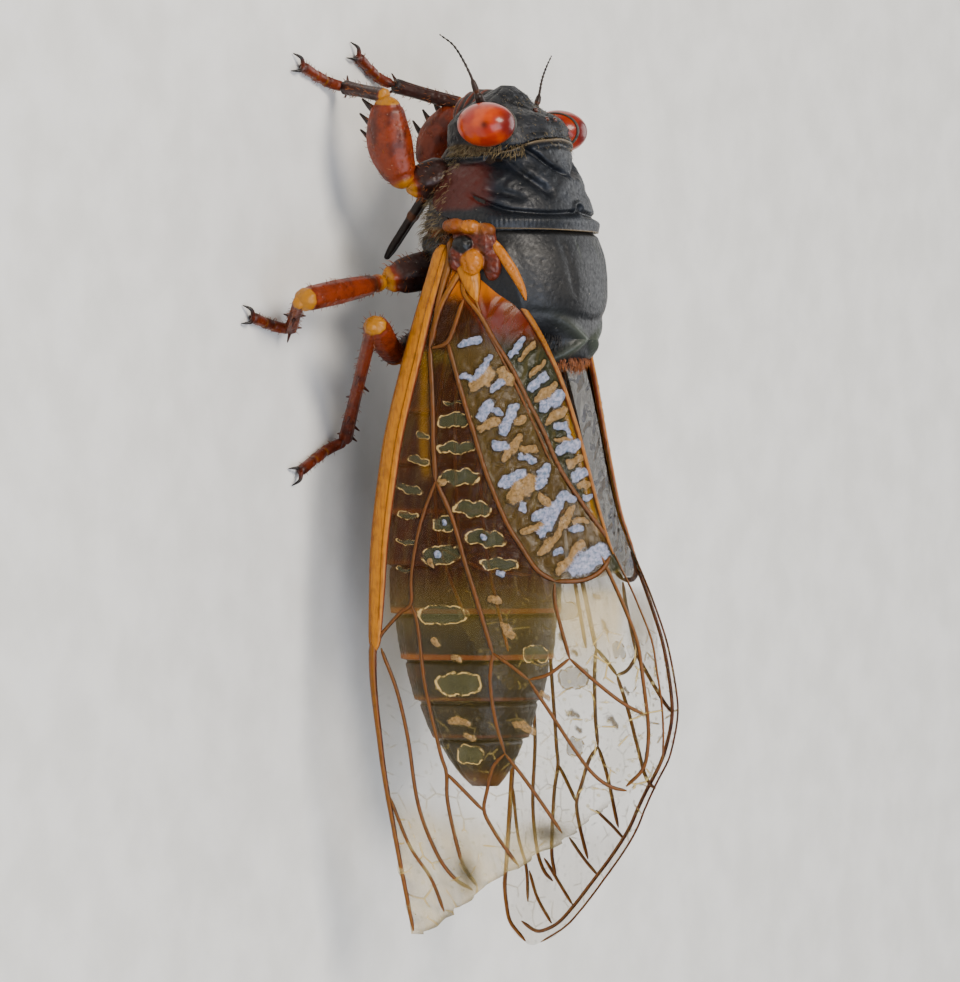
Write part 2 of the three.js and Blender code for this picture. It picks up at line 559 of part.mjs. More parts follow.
// Each leg's joints, for the left side as the photograph shows it and for the right side.
const legs = {
  left_fore: {
    hip: at(2.2, 3.9, 5.6), socket: at(3.7, 4.75, 4.1), knee: at(4.6, 0.6, 3.6), ankle: at(3.4, 0.05, 0.7),
    toe: at(6.5, -0.75, 0.24),
  },
  right_fore: {
    hip: at(-1.9, 4.7, 5.2), socket: at(-1.85, 3.9, 2.3), knee: at(-2.7, 0.65, 3.6), ankle: at(-1.2, -0.3, 0.7),
    toe: at(1.3, -1.5, 0.24),
  },
  left_middle: {
    hip: at(2.6, 8.2, 5.2), socket: at(4.6, 9.0, 3.4), knee: at(10.8, 10.0, 2.6), ankle: at(8.3, 11.2, 0.7),
    toe: at(11.0, 10.7, 0.24),
  },
  right_middle: {
    hip: at(-2.6, 8.2, 5.2), socket: at(-4.6, 9.0, 3.4), knee: at(-10.4, 9.4, 3.0), ankle: at(-8.6, 11.0, 0.7),
    toe: at(-11.0, 11.9, 0.24),
  },
  left_hind: {
    hip: at(2.2, 11.5, 4.8), socket: at(3.5, 12.5, 3.5), knee: at(7.3, 10.9, 4.4), ankle: at(3.3, 16.2, 0.7),
    toe: at(6.7, 17.6, 0.24),
  },
  right_hind: {
    hip: at(-2.2, 11.5, 4.8), socket: at(-3.5, 12.5, 3.5), knee: at(-7.1, 12.4, 4.5), ankle: at(-4.2, 19.3, 0.7),
    toe: at(-6.7, 21.6, 0.24),
  },
};
const legSizes = {
  fore: { coxa: 1.0, femur: [[0, 0.55], [0.18, 0.85], [0.5, 1.1], [0.85, 0.82], [1, 0.6]], flat: 0.8, tibia: 0.4 },
  middle: { coxa: 0.95, femur: [[0, 0.48], [0.2, 0.55], [0.6, 0.64], [0.9, 0.66], [1, 0.62]], flat: 0.95, tibia: 0.36 },
  hind: { coxa: 0.95, femur: [[0, 0.5], [0.3, 0.62], [0.8, 0.7], [1, 0.62]], flat: 0.9, tibia: 0.36 },
};

const floorBlock = () => {
  const block = new THREE.BoxGeometry(80, 120, 6);
  block.translate(0, 15, -3);
  return solid(block);
};

function foreSpines(leg) {
  const axis = leg.knee.clone().sub(leg.socket);
  const under = at(0, -0.25, -1).normalize();
  return [[0.42, 1.55, 0.26], [0.62, 1.35, 0.24], [0.8, 1.15, 0.22]].map(([share, reach, radius]) => {
    const root = leg.socket.clone().addScaledVector(axis, share).addScaledVector(under, 0.35);
    const tip = root.clone().addScaledVector(under, reach).addScaledVector(axis.clone().normalize(), 0.6);
    return spine(root, tip, radius);
  });
}

function tibiaSpines(leg, count) {
  const axis = leg.ankle.clone().sub(leg.knee);
  const across = new THREE.Vector3().crossVectors(axis, at(0, 0, 1)).normalize();
  const spines = [];
  for (let i = 0; i < count; i++) {
    const root = leg.knee.clone().addScaledVector(axis, 0.45 + (0.4 * i) / count);
    const way = across.clone().multiplyScalar(i % 2 ? 1 : -1);
    const tip = root.clone().addScaledVector(way, 0.75).addScaledVector(axis, 0.05);
    spines.push(spine(root, tip, 0.16));
  }
  return spines;
}

function legPieces(name) {
  const leg = legs[name];
  const kind = name.split("_")[1];
  const size = legSizes[kind];
  const coxa = (grow) =>
    limb([leg.hip, leg.socket], [[0, size.coxa], [0.55, size.coxa * 0.9], [1, 0.62]], { grow, steps: 4 });
  const femur = (grow) => limb([leg.socket, leg.knee], size.femur, { grow, flat: size.flat, sides: 8, steps: 7 });
  const tibia = (grow) =>
    limb([leg.knee, leg.ankle], [[0, size.tibia + 0.06], [0.2, size.tibia], [0.8, size.tibia - 0.04], [1, size.tibia]], {
      grow,
      steps: 4,
    });
  const instep = leg.ankle.clone().lerp(leg.toe, 0.3).setZ(0.3);
  const tarsus = limb([leg.ankle, instep, leg.toe], [[0, 0.3], [0.6, 0.32], [0.85, 0.36], [1, 0.26]], { sides: 8, steps: 5 });
  const forward = leg.toe.clone().sub(instep).setZ(0).normalize();
  const sideways = at(-forward.y, forward.x, 0);
  const claws = [1, -1].map((way) => {
    const root = leg.toe.clone().addScaledVector(forward, -0.2);
    const tip = leg.toe.clone().addScaledVector(forward, 0.6).addScaledVector(sideways, 0.42 * way);
    return spine(root, tip.setZ(0.2), 0.2);
  });
  const spines = { fore: foreSpines(leg), middle: [], hind: [] }[kind];
  const shin = joined([tibia(0), ...(kind === "fore" ? [] : tibiaSpines(leg, kind === "hind" ? 4 : 2))]);
  return {
    [`${name}_coxa`]: trimmed(coxa(0), [bodyGrown, rostrum(JOINT_GAP)]),
    [`${name}_femur`]: trimmed(joined([femur(0), ...spines]), [bodyGrown, coxa(JOINT_GAP)]),
    [`${name}_tibia`]: trimmed(shin, [femur(JOINT_GAP), floorBlock()]),
    [`${name}_tarsus`]: trimmed(joined([tarsus, ...claws]), [tibia(JOINT_GAP), floorBlock()]),
  };
}

// Assembly

const colours = {
  shell: 0x14171b,
  eye: 0xc8301a,
  wing: 0xd8c890,
  leg: 0x8e3213,
  abdomen: 0x2a1a10,
};

function finish(colour, roughness = 0.45, extra = {}) {
  return new THREE.MeshStandardMaterial({ color: colour, roughness, metalness: 0, ...extra });
}

const shellFinish = finish(colours.shell);
const eyeFinish = finish(colours.eye, 0.25);
const wingFinish = finish(colours.wing, 0.2, { transparent: true, opacity: 0.5 });
const legFinish = finish(colours.leg);
const abdomenFinish = finish(colours.abdomen, 0.5);

const cicada = new THREE.Group();

function place(name, shape, material) {
  const mesh = tidied(shape).getMesh();
  const geometry = new THREE.BufferGeometry();
  geometry.setAttribute("position", new THREE.Float32BufferAttribute(mesh.vertProperties, 3));
  geometry.setIndex(new THREE.BufferAttribute(new Uint32Array(mesh.triVerts), 1));
  const part = new THREE.Mesh(geometry, material);
  part.name = name;
  cicada.add(part);
}

const eyeSockets = [eyeBall(LEFT, JOINT_GAP, 14), eyeBall(RIGHT, JOINT_GAP, 14)];
const skull = trimmed(bodyPart("head"), [...eyeSockets, facePlate(JOINT_GAP), rostrum(JOINT_GAP)]);
place("head", skull, shellFinish);
place("face", trimmed(facePlate(0), [...eyeSockets, rostrum(JOINT_GAP)]), shellFinish);
place("rostrum", rostrum(0), shellFinish);
place("eye_left", eyeBall(LEFT, 0), eyeFinish);
place("eye_right", eyeBall(RIGHT, 0), eyeFinish);
for (const [name, outSign] of [["antenna_left", LEFT], ["antenna_right", RIGHT]]) {
  place(name, trimmed(antenna(outSign), [bodyGrown, facePlate(JOINT_GAP), ...eyeSockets]), shellFinish);
}
place("pronotum", trimmed(bodyPart("pronotum"), eyeSockets), shellFinish);
place("scutum", bodyPart("scutum"), shellFinish);
place("scutellum", bodyPart("scutellum"), shellFinish);
place("thorax", trimmed(bodyPart("thorax"), [rostrum(JOINT_GAP)]), shellFinish);
place("abdomen", bodyPart("abdomen"), abdomenFinish);
place("abdomen_tip", bodyPart("abdomen_tip"), abdomenFinish);
place("forewing_left", frontWing(LEFT, wornWing), wingFinish);
place("forewing_right", frontWing(RIGHT, wholeWing), wingFinish);
place("hindwing_left", hindWingSolid(LEFT), wingFinish);
place("hindwing_right", hindWingSolid(RIGHT), wingFinish);
for (const name of Object.keys(legs)) {
  for (const [piece, shape] of Object.entries(legPieces(name))) place(piece, shape, legFinish);
}

// The origin is on the floor, under the middle of the model.
const extent = new THREE.Box3().setFromObject(cicada);
cicada.position.set(-(extent.min.x + extent.max.x) / 2, -(extent.min.y + extent.max.y) / 2, -extent.min.z);

export default cicada;
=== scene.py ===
"""A life-size museum model of a periodical cicada, standing on its feet with its wings folded like a roof.

Lengths are in millimetres until a mesh is placed: out is left of the midline, back is behind the front of the
head and height is above the floor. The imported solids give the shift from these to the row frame.
"""

import logging
import math
from dataclasses import dataclass, field
from enum import Enum
from functools import partial
from typing import Callable, ClassVar, Iterable, Sequence

import bpy
import numpy as np
from mathutils import Matrix, Vector


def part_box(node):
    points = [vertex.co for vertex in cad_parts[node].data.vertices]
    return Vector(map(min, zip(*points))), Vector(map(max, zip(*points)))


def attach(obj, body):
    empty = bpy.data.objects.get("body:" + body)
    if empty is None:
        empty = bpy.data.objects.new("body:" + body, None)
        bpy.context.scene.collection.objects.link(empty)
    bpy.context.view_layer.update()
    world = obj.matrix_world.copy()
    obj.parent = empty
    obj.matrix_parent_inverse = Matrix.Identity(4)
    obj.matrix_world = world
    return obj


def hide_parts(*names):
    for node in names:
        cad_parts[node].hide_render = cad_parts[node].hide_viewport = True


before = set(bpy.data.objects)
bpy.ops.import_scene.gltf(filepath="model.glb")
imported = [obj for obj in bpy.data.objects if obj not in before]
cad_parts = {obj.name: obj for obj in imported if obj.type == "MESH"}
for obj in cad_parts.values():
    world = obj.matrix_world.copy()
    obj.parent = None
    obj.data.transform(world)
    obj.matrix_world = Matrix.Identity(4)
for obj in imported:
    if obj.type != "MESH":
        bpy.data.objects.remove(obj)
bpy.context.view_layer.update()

LOG = logging.getLogger("cicada")
Array = np.ndarray
Socket = bpy.types.NodeSocket
Piece = bpy.types.Object
Pairs = tuple[tuple[float, float], ...]
Spot = tuple[float, float, float]
TubePlace = Callable[[Array, Array, Array], Array]
SheetPlace = Callable[[Array, Array], Array]

MM = 0.001
IMAGE_HEIGHT_PIXELS = 982
PIXELS_PER_MM = 22.0


class Slot(Enum):
    """The record's material slots."""

    SHELL = "shell"
    EYE = "eye"
    WING = "wing"
    LEG = "leg"
    ABDOMEN = "abdomen"


class Side(Enum):
    """Which side of the animal a piece is on, as the sign of its distance from the midline."""

    LEFT = 1
    RIGHT = -1

    @property
    def word(self) -> str:
        """The side's name as the solids' names write it."""
        return self.name.lower()


@dataclass(frozen=True)
class Track:
    """A smooth curve through (place, value) pairs that never overshoots them."""

    pairs: Pairs

    def __call__(self, place: Array | float) -> Array:
        """Reads the curve.

        Args:
            place: where to read it, held to the range of the pairs.

        Returns:
            The values there.
        """
        x, y = np.array(self.pairs, float).T
        slope = np.diff(y) / np.diff(x)
        tangent = np.concatenate(([slope[0]], np.zeros(len(x) - 2), [slope[-1]]))
        product = slope[:-1] * slope[1:]
        total = np.where(product > 0, slope[:-1] + slope[1:], 1.0)
        tangent[1:-1] = np.where(product > 0, 2 * product / total, 0.0)
        at = np.clip(place, x[0], x[-1])
        i = np.clip(np.searchsorted(x, at, side="right") - 1, 0, len(x) - 2)
        run = x[i + 1] - x[i]
        u = (at - x[i]) / run
        level = y[i] + (y[i + 1] - y[i]) * u * u * (3 - 2 * u)
        return level + (tangent[i] * (1 - u) ** 2 * u - tangent[i + 1] * u * u * (1 - u)) * run


def bump(x: Array, middle: Array | float, width: float) -> Array:
    """A soft hump of height 1 at the middle."""
    return np.exp(-(((x - middle) / width) ** 2))


def ease(x: Array, low: float, high: float) -> Array:
    """A smooth step from 0 at low to 1 at high, where high may be the smaller."""
    u = np.clip((x - low) / (high - low), 0, 1)
    return u * u * (3 - 2 * u)


def unit(vectors: Array) -> Array:
    """The same directions with length 1."""
    return vectors / np.maximum(np.linalg.norm(vectors, axis=-1, keepdims=True), 1e-12)


def ripple(x: Array, y: Array, size: float, seed: int) -> Array:
    """Smooth seeded noise from -1 to 1, as a sum of plane waves.

    Args:
        x: first coordinate in mm.
        y: second coordinate in mm.
        size: the length of the longest wave in mm.
        seed: picks the waves.

    Returns:
        The noise at each point.
    """
    draw = np.random.default_rng(seed)
    total = np.zeros(np.broadcast(x, y).shape)
    for share in (1.0, 0.83, 0.67, 0.55, 0.45, 0.37):
        turn, start = draw.uniform(0, 2 * math.pi, 2)
        run = (x * math.cos(turn) + y * math.sin(turn)) / (size * share)
        total += share * np.sin(2 * math.pi * run + start)
    return total / 3.0


def frame_shift() -> Array:
    """The shift in mm from the maker's coordinates to the row frame, from where the solids hold the eyes."""
    left, right = (sum(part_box(f"eye_{side.word}"), Vector()) / 2 for side in Side)
    return np.array([(left.x + right.x) / 2 / MM, left.y / MM - Eye.back, 0.0])


def in_frame(points: Array) -> Array:
    """Points in metres in the row frame, from points of out, back and height in mm."""
    return (np.asarray(points, float) + SHIFT) * MM


def at(out: Array, back: Array, height: Array) -> Array:
    """Points of out, back and height in mm, as rows."""
    return np.stack(np.broadcast_arrays(out, back, height), axis=-1).astype(float)


def linear(colour: str) -> tuple[float, float, float, float]:
    """An sRGB hex colour such as "#8A3E12" as linear red, green, blue and 1."""
    parts = (int(colour[i : i + 2], 16) / 255 for i in (1, 3, 5))
    red, green, blue = (p / 12.92 if p <= 0.04045 else ((p + 0.055) / 1.055) ** 2.4 for p in parts)
    return red, green, blue, 1.0


def deselect_all() -> None:
    """Clears the selection, so that an operator acts only on what is chosen next."""
    for chosen in bpy.context.selected_objects:
        chosen.select_set(False)


def choose(piece: Piece) -> None:
    """Makes one object the only one selected, and the active one."""
    deselect_all()
    piece.select_set(True)
    bpy.context.view_layer.objects.active = piece


def named(name: str) -> Piece:
    """Gives the primitive that was just added its name, and returns it."""
    piece = bpy.context.object
    piece.name = name
    piece.data.name = name
    return piece


def read_points(piece: Piece) -> Array:
    """The mesh's points as rows."""
    points = np.empty(len(piece.data.vertices) * 3)
    piece.data.vertices.foreach_get("co", points)
    return points.reshape(-1, 3)


def mm_points(piece: Piece) -> Array:
    """The mesh's points in mm of out, back and height."""
    return read_points(piece) / MM - SHIFT


def move_points(piece: Piece, points: Array) -> None:
    """Puts the mesh's points at these places in mm, in the row frame."""
    piece.data.vertices.foreach_set("co", in_frame(points).ravel())
    piece.data.update()


def paint(piece: Piece, name: str, values: Array | float) -> None:
    """Stores one number per point, from 0 to 1, for the materials to read.

    Args:
        piece: the mesh object.
        name: the attribute's name.
        values: one number for each point, or one for all.
    """
    layer = piece.data.attributes.get(name) or piece.data.attributes.new(name, "FLOAT", "POINT")
    spread = np.broadcast_to(np.clip(values, 0, 1), len(piece.data.vertices))
    layer.data.foreach_set("value", spread.astype(np.float32))


def in_edit_mode(piece: Piece, *steps: Callable[[], object]) -> None:
    """Runs edit-mode operators on one object's mesh.

    Args:
        piece: the mesh object.
        steps: the operator calls, in order.
    """
    choose(piece)
    bpy.ops.object.mode_set(mode="EDIT")
    for step in steps:
        step()
    bpy.ops.object.mode_set(mode="OBJECT")


def close_up(piece: Piece, smooth_degrees: float = 50.0) -> Piece:
    """Merges doubled points, turns the faces outwards and shades the mesh smooth.

    Args:
        piece: the mesh object.
        smooth_degrees: edges sharper than this stay crisp.

    Returns:
        The same object.
    """
    in_edit_mode(
        piece,
        lambda: bpy.ops.mesh.select_all(action="SELECT"),
        lambda: bpy.ops.mesh.remove_doubles(threshold=2e-7),
        lambda: bpy.ops.mesh.normals_make_consistent(inside=False),
    )
    bpy.ops.object.shade_smooth_by_angle(angle=math.radians(smooth_degrees))
    return piece


def apply_modifier(piece: Piece, kind: str, **settings: object) -> None:
    """Adds a modifier with its settings and applies it.

    Args:
        piece: the mesh object.
        kind: the modifier's type.
        settings: its properties.
    """
    choose(piece)
    modifier = piece.modifiers.new(kind.lower(), kind)
    for name, value in settings.items():
        setattr(modifier, name, value)
    bpy.ops.object.modifier_apply(modifier=modifier.name)


def cut_long_edges(piece: Piece, cuts: int) -> None:
    """Cuts a cylinder's long edges, so that it gets more rings."""
    mesh = piece.data
    ends = np.empty(len(mesh.edges) * 2, int)
    mesh.edges.foreach_get("vertices", ends)
    level = read_points(piece)[ends.reshape(-1, 2), 2]
    mesh.vertices.foreach_set("select", np.zeros(len(mesh.vertices), bool))
    mesh.polygons.foreach_set("select", np.zeros(len(mesh.polygons), bool))
    mesh.edges.foreach_set("select", np.abs(level[:, 0] - level[:, 1]) > 1e-5)
    bpy.context.tool_settings.mesh_select_mode = (False, True, False)
    in_edit_mode(piece, lambda: bpy.ops.mesh.subdivide(number_cuts=cuts))


def closed_tube(name: str, around: int, rings: int, place: TubePlace) -> Piece:
    """A cylinder with more rings, whose points are then placed.

    Args:
        name: the object's name.
        around: points in each ring.
        rings: spans from end to end.
        place: gives the points in mm from the share along, the angle and the share out from the axis.

    Returns:
        The closed mesh object.
    """
    deselect_all()
    bpy.ops.mesh.primitive_cylinder_add(vertices=around, radius=1.0, depth=1.0, end_fill_type="TRIFAN")
    tube = named(name)
    coarse = math.ceil(rings / 90)
    for spans in (coarse, math.ceil(rings / coarse)):
        if spans > 1:
            cut_long_edges(tube, spans - 1)
    points = read_points(tube)
    along = np.clip(points[:, 2] + 0.5, 0, 1)
    angle = np.arctan2(points[:, 1], points[:, 0])
    share = np.hypot(points[:, 0], points[:, 1])
    move_points(tube, place(along, angle, share))
    return tube


def sheet(name: str, columns: int, rows: int, place: SheetPlace) -> Piece:
    """A flat grid whose points are then placed.

    Args:
        name: the object's name.
        columns: spans across.
        rows: spans along.
        place: gives the points in mm from the shares across and along.

    Returns:
        The open mesh object.
    """
    deselect_all()
    bpy.ops.mesh.primitive_grid_add(x_subdivisions=columns, y_subdivisions=rows, size=1.0)
    made = named(name)
    points = read_points(made)
    move_points(made, place(points[:, 0] + 0.5, points[:, 1] + 0.5))
    return made


def ball(name: str, centre: Sequence[float], half: Sequence[float], around: int = 32) -> Piece:
    """A sphere drawn out to three half sizes.

    Args:
        name: the object's name.
        centre: out, back and height in mm.
        half: half sizes in mm along out, back and height.
        around: points in each ring.

    Returns:
        The mesh object.
    """
    deselect_all()
    bpy.ops.mesh.primitive_uv_sphere_add(segments=around, ring_count=around // 2, radius=1.0)
    made = named(name)
    move_points(made, np.asarray(centre, float) + read_points(made) * np.asarray(half, float))
    return made


def joined(name: str, pieces: Iterable[Piece]) -> Piece:
    """Joins objects into one, with every material and attribute kept.

    Args:
        name: the joined object's name.
        pieces: the objects.

    Returns:
        The joined object.
    """
    parts = list(pieces)
    choose(parts[0])
    for part in parts:
        part.select_set(True)
    bpy.ops.object.join()
    return named(name)


def add_node(
    tree: bpy.types.NodeTree,
    kind: str,
    sockets: dict | None = None,
    output: int | str = 0,
    **settings: object,
) -> Socket | None:
    """Adds a shader node with its settings, values and links.

    Args:
        tree: the material's node tree.
        kind: the node's type, without the word that all shader nodes start with.
        sockets: for each input by name or number, a value or the output socket that feeds it.
        output: the output that is wanted, by name or number.
        settings: the node's properties.

    Returns:
        That output's socket, or None where the node has no outputs.
    """
    made = tree.nodes.new(f"ShaderNode{kind}")
    for name, value in settings.items():
        setattr(made, name, value)
    for key, value in (sockets or {}).items():
        if isinstance(value, Socket):
            tree.links.new(value, made.inputs[key])
        else:
            made.inputs[key].default_value = value
    return made.outputs[output] if made.outputs else None


AddNode = Callable[..., Socket]
SMOOTH = {"interpolation_type": "SMOOTHSTEP"}
COLOUR_MIX = {"data_type": "RGBA", "output": 2}  # its colours are sockets 6 and 7


def place_in_mm(node: AddNode) -> Socket:
    """The place on the model in mm, for the patterns to read."""
    place = node("TexCoord", output="Object")
    return node("VectorMath", {0: place, "Scale": 1 / MM}, operation="SCALE")


def painted(node: AddNode, *names: str) -> tuple[Socket, ...]:
    """The numbers painted on a piece under these names, as sockets."""
    return tuple(node("Attribute", output="Fac", attribute_name=name) for name in names)


@dataclass(frozen=True)
class Finish:
    """What all finishes share: a name, and one surface whose sockets each kind of finish fills."""

    name: str

    def sockets(self, node: AddNode) -> dict[str, object]:
        """Builds the patterns.

        Args:
            node: adds a node to the material.

        Returns:
            The surface's values, and the sockets that feed it.
        """
        raise NotImplementedError

    def material(self) -> bpy.types.Material:
        """Builds the finish as nodes."""
        material = bpy.data.materials.new(self.name)
        material.use_nodes = True
        material.node_tree.nodes.clear()
        node = partial(add_node, material.node_tree)
        surface = node("BsdfPrincipled", self.sockets(node))
        node("OutputMaterial", {"Surface": surface})
        return material


@dataclass(frozen=True)
class Cuticle(Finish):
    """Hardened insect cuticle, tanned dark and left with a thin coat of wax.

    The mottle is uneven tanning, the pits are the small cups that carry its hairs, and the flecks are the
    pale dust in them. The accent and second colours lie where the piece is painted with them.
    """

    base: str
    mottle: str
    accent: str
    second: str
    rough: float
    mottle_mm: float = 1.1
    grain_mm: float = 0.16
    grain_depth_mm: float = 0.025
    pit_mm: float = 0.3
    pit_depth_mm: float = 0.02
    dust: float = 0.3
    dust_colour: str = "#B9B4A2"
    coat: float = 0.05
    ior: float = 1.4

    def sockets(self, node: AddNode) -> dict[str, object]:
        """Tanning, wax, pits and dust."""
        spot = place_in_mm(node)
        accent, second = painted(node, "accent", "second")
        tan = node("TexNoise", {"Vector": spot, "Scale": 1 / self.mottle_mm, "Detail": 4.0})
        grain = node("TexNoise", {"Vector": spot, "Scale": 1 / self.grain_mm, "Detail": 3.0})
        pits = node("TexVoronoi", {"Vector": spot, "Scale": 1 / self.pit_mm}, "Distance")
        patchy = node("MapRange", {0: tan, 1: 0.42, 2: 0.68}, **SMOOTH)
        wavered = node("Math", {0: tan, 1: 0.5, 2: accent}, operation="MULTIPLY_ADD")
        edge = node("MapRange", {0: wavered, 1: 0.45, 2: 1.0}, **SMOOTH)
        in_pit = node("MapRange", {0: pits, 1: 0.12, 2: 0.05, 4: self.dust}, **SMOOTH)
        some = node("MapRange", {0: grain, 1: 0.52, 2: 0.62}, **SMOOTH)
        fleck = node("Math", {0: in_pit, 1: some}, operation="MULTIPLY")
        tones = (self.mottle, self.accent, self.second, self.dust_colour)
        colour = linear(self.base)
        for mask, tone in zip((patchy, edge, second, fleck), tones):
            colour = node("Mix", {0: mask, 6: colour, 7: linear(tone)}, **COLOUR_MIX)
        dull, matt = self.rough - 0.08, self.rough + 0.14
        gloss = node("MapRange", {0: grain, 1: 0.3, 2: 0.7, 3: dull, 4: matt})
        cup = node("MapRange", {0: pits, 1: 0.0, 2: 0.45}, **SMOOTH)
        relief = None
        for height, depth_mm in ((grain, self.grain_depth_mm), (cup, self.pit_depth_mm)):
            under = {"Normal": relief} if relief else {}
            relief = node("Bump", {"Height": height, "Distance": depth_mm * MM, "Strength": 1.0} | under)
        values = {"Base Color": colour, "Roughness": gloss, "Normal": relief, "IOR": self.ior}
        return values | {"Coat Weight": self.coat, "Coat Roughness": 0.25}


@dataclass(frozen=True)
class EyeLens(Finish):
    """The clear lens layer of a compound eye over its red pigment, smooth and wet-looking."""

    name: str = "compound_eye_lens"
    base: str = "#9C2200"
    glow: str = "#BA4000"
    crown: str = "#5E0600"
    pupil: str = "#1A0201"
    cloud_mm: float = 0.8
    facet_mm: float = 0.07  # real facets are 0.03 mm, too fine to show
    facet_depth_mm: float = 0.004

    def sockets(self, node: AddNode) -> dict[str, object]:
        """Cloudy pigment, its dark crown and spot, and the facets."""
        spot = place_in_mm(node)
        crown, pupil = painted(node, "accent", "second")
        cloud = node("TexNoise", {"Vector": spot, "Scale": 1 / self.cloud_mm, "Detail": 2.0})
        facets = node("TexVoronoi", {"Vector": spot, "Scale": 1 / self.facet_mm}, "Distance")
        patchy = node("MapRange", {0: cloud, 1: 0.4, 2: 0.65}, **SMOOTH)
        colour = linear(self.base)
        for mask, tone in ((patchy, self.glow), (crown, self.crown), (pupil, self.pupil)):
            colour = node("Mix", {0: mask, 6: colour, 7: linear(tone)}, **COLOUR_MIX)
        depth = self.facet_depth_mm * MM
        relief = node("Bump", {"Height": facets, "Distance": depth, "Strength": 0.5})
        values = {"Base Color": colour, "Roughness": 0.3, "Normal": relief, "IOR": 1.4}
        return values | {"Coat Weight": 0.25, "Coat Roughness": 0.1}


@dataclass(frozen=True)
class Tone:
    """One marking of the membrane: what it is painted as, its colour and how solid it is."""

    mask: str
    colour: str
    solid: float


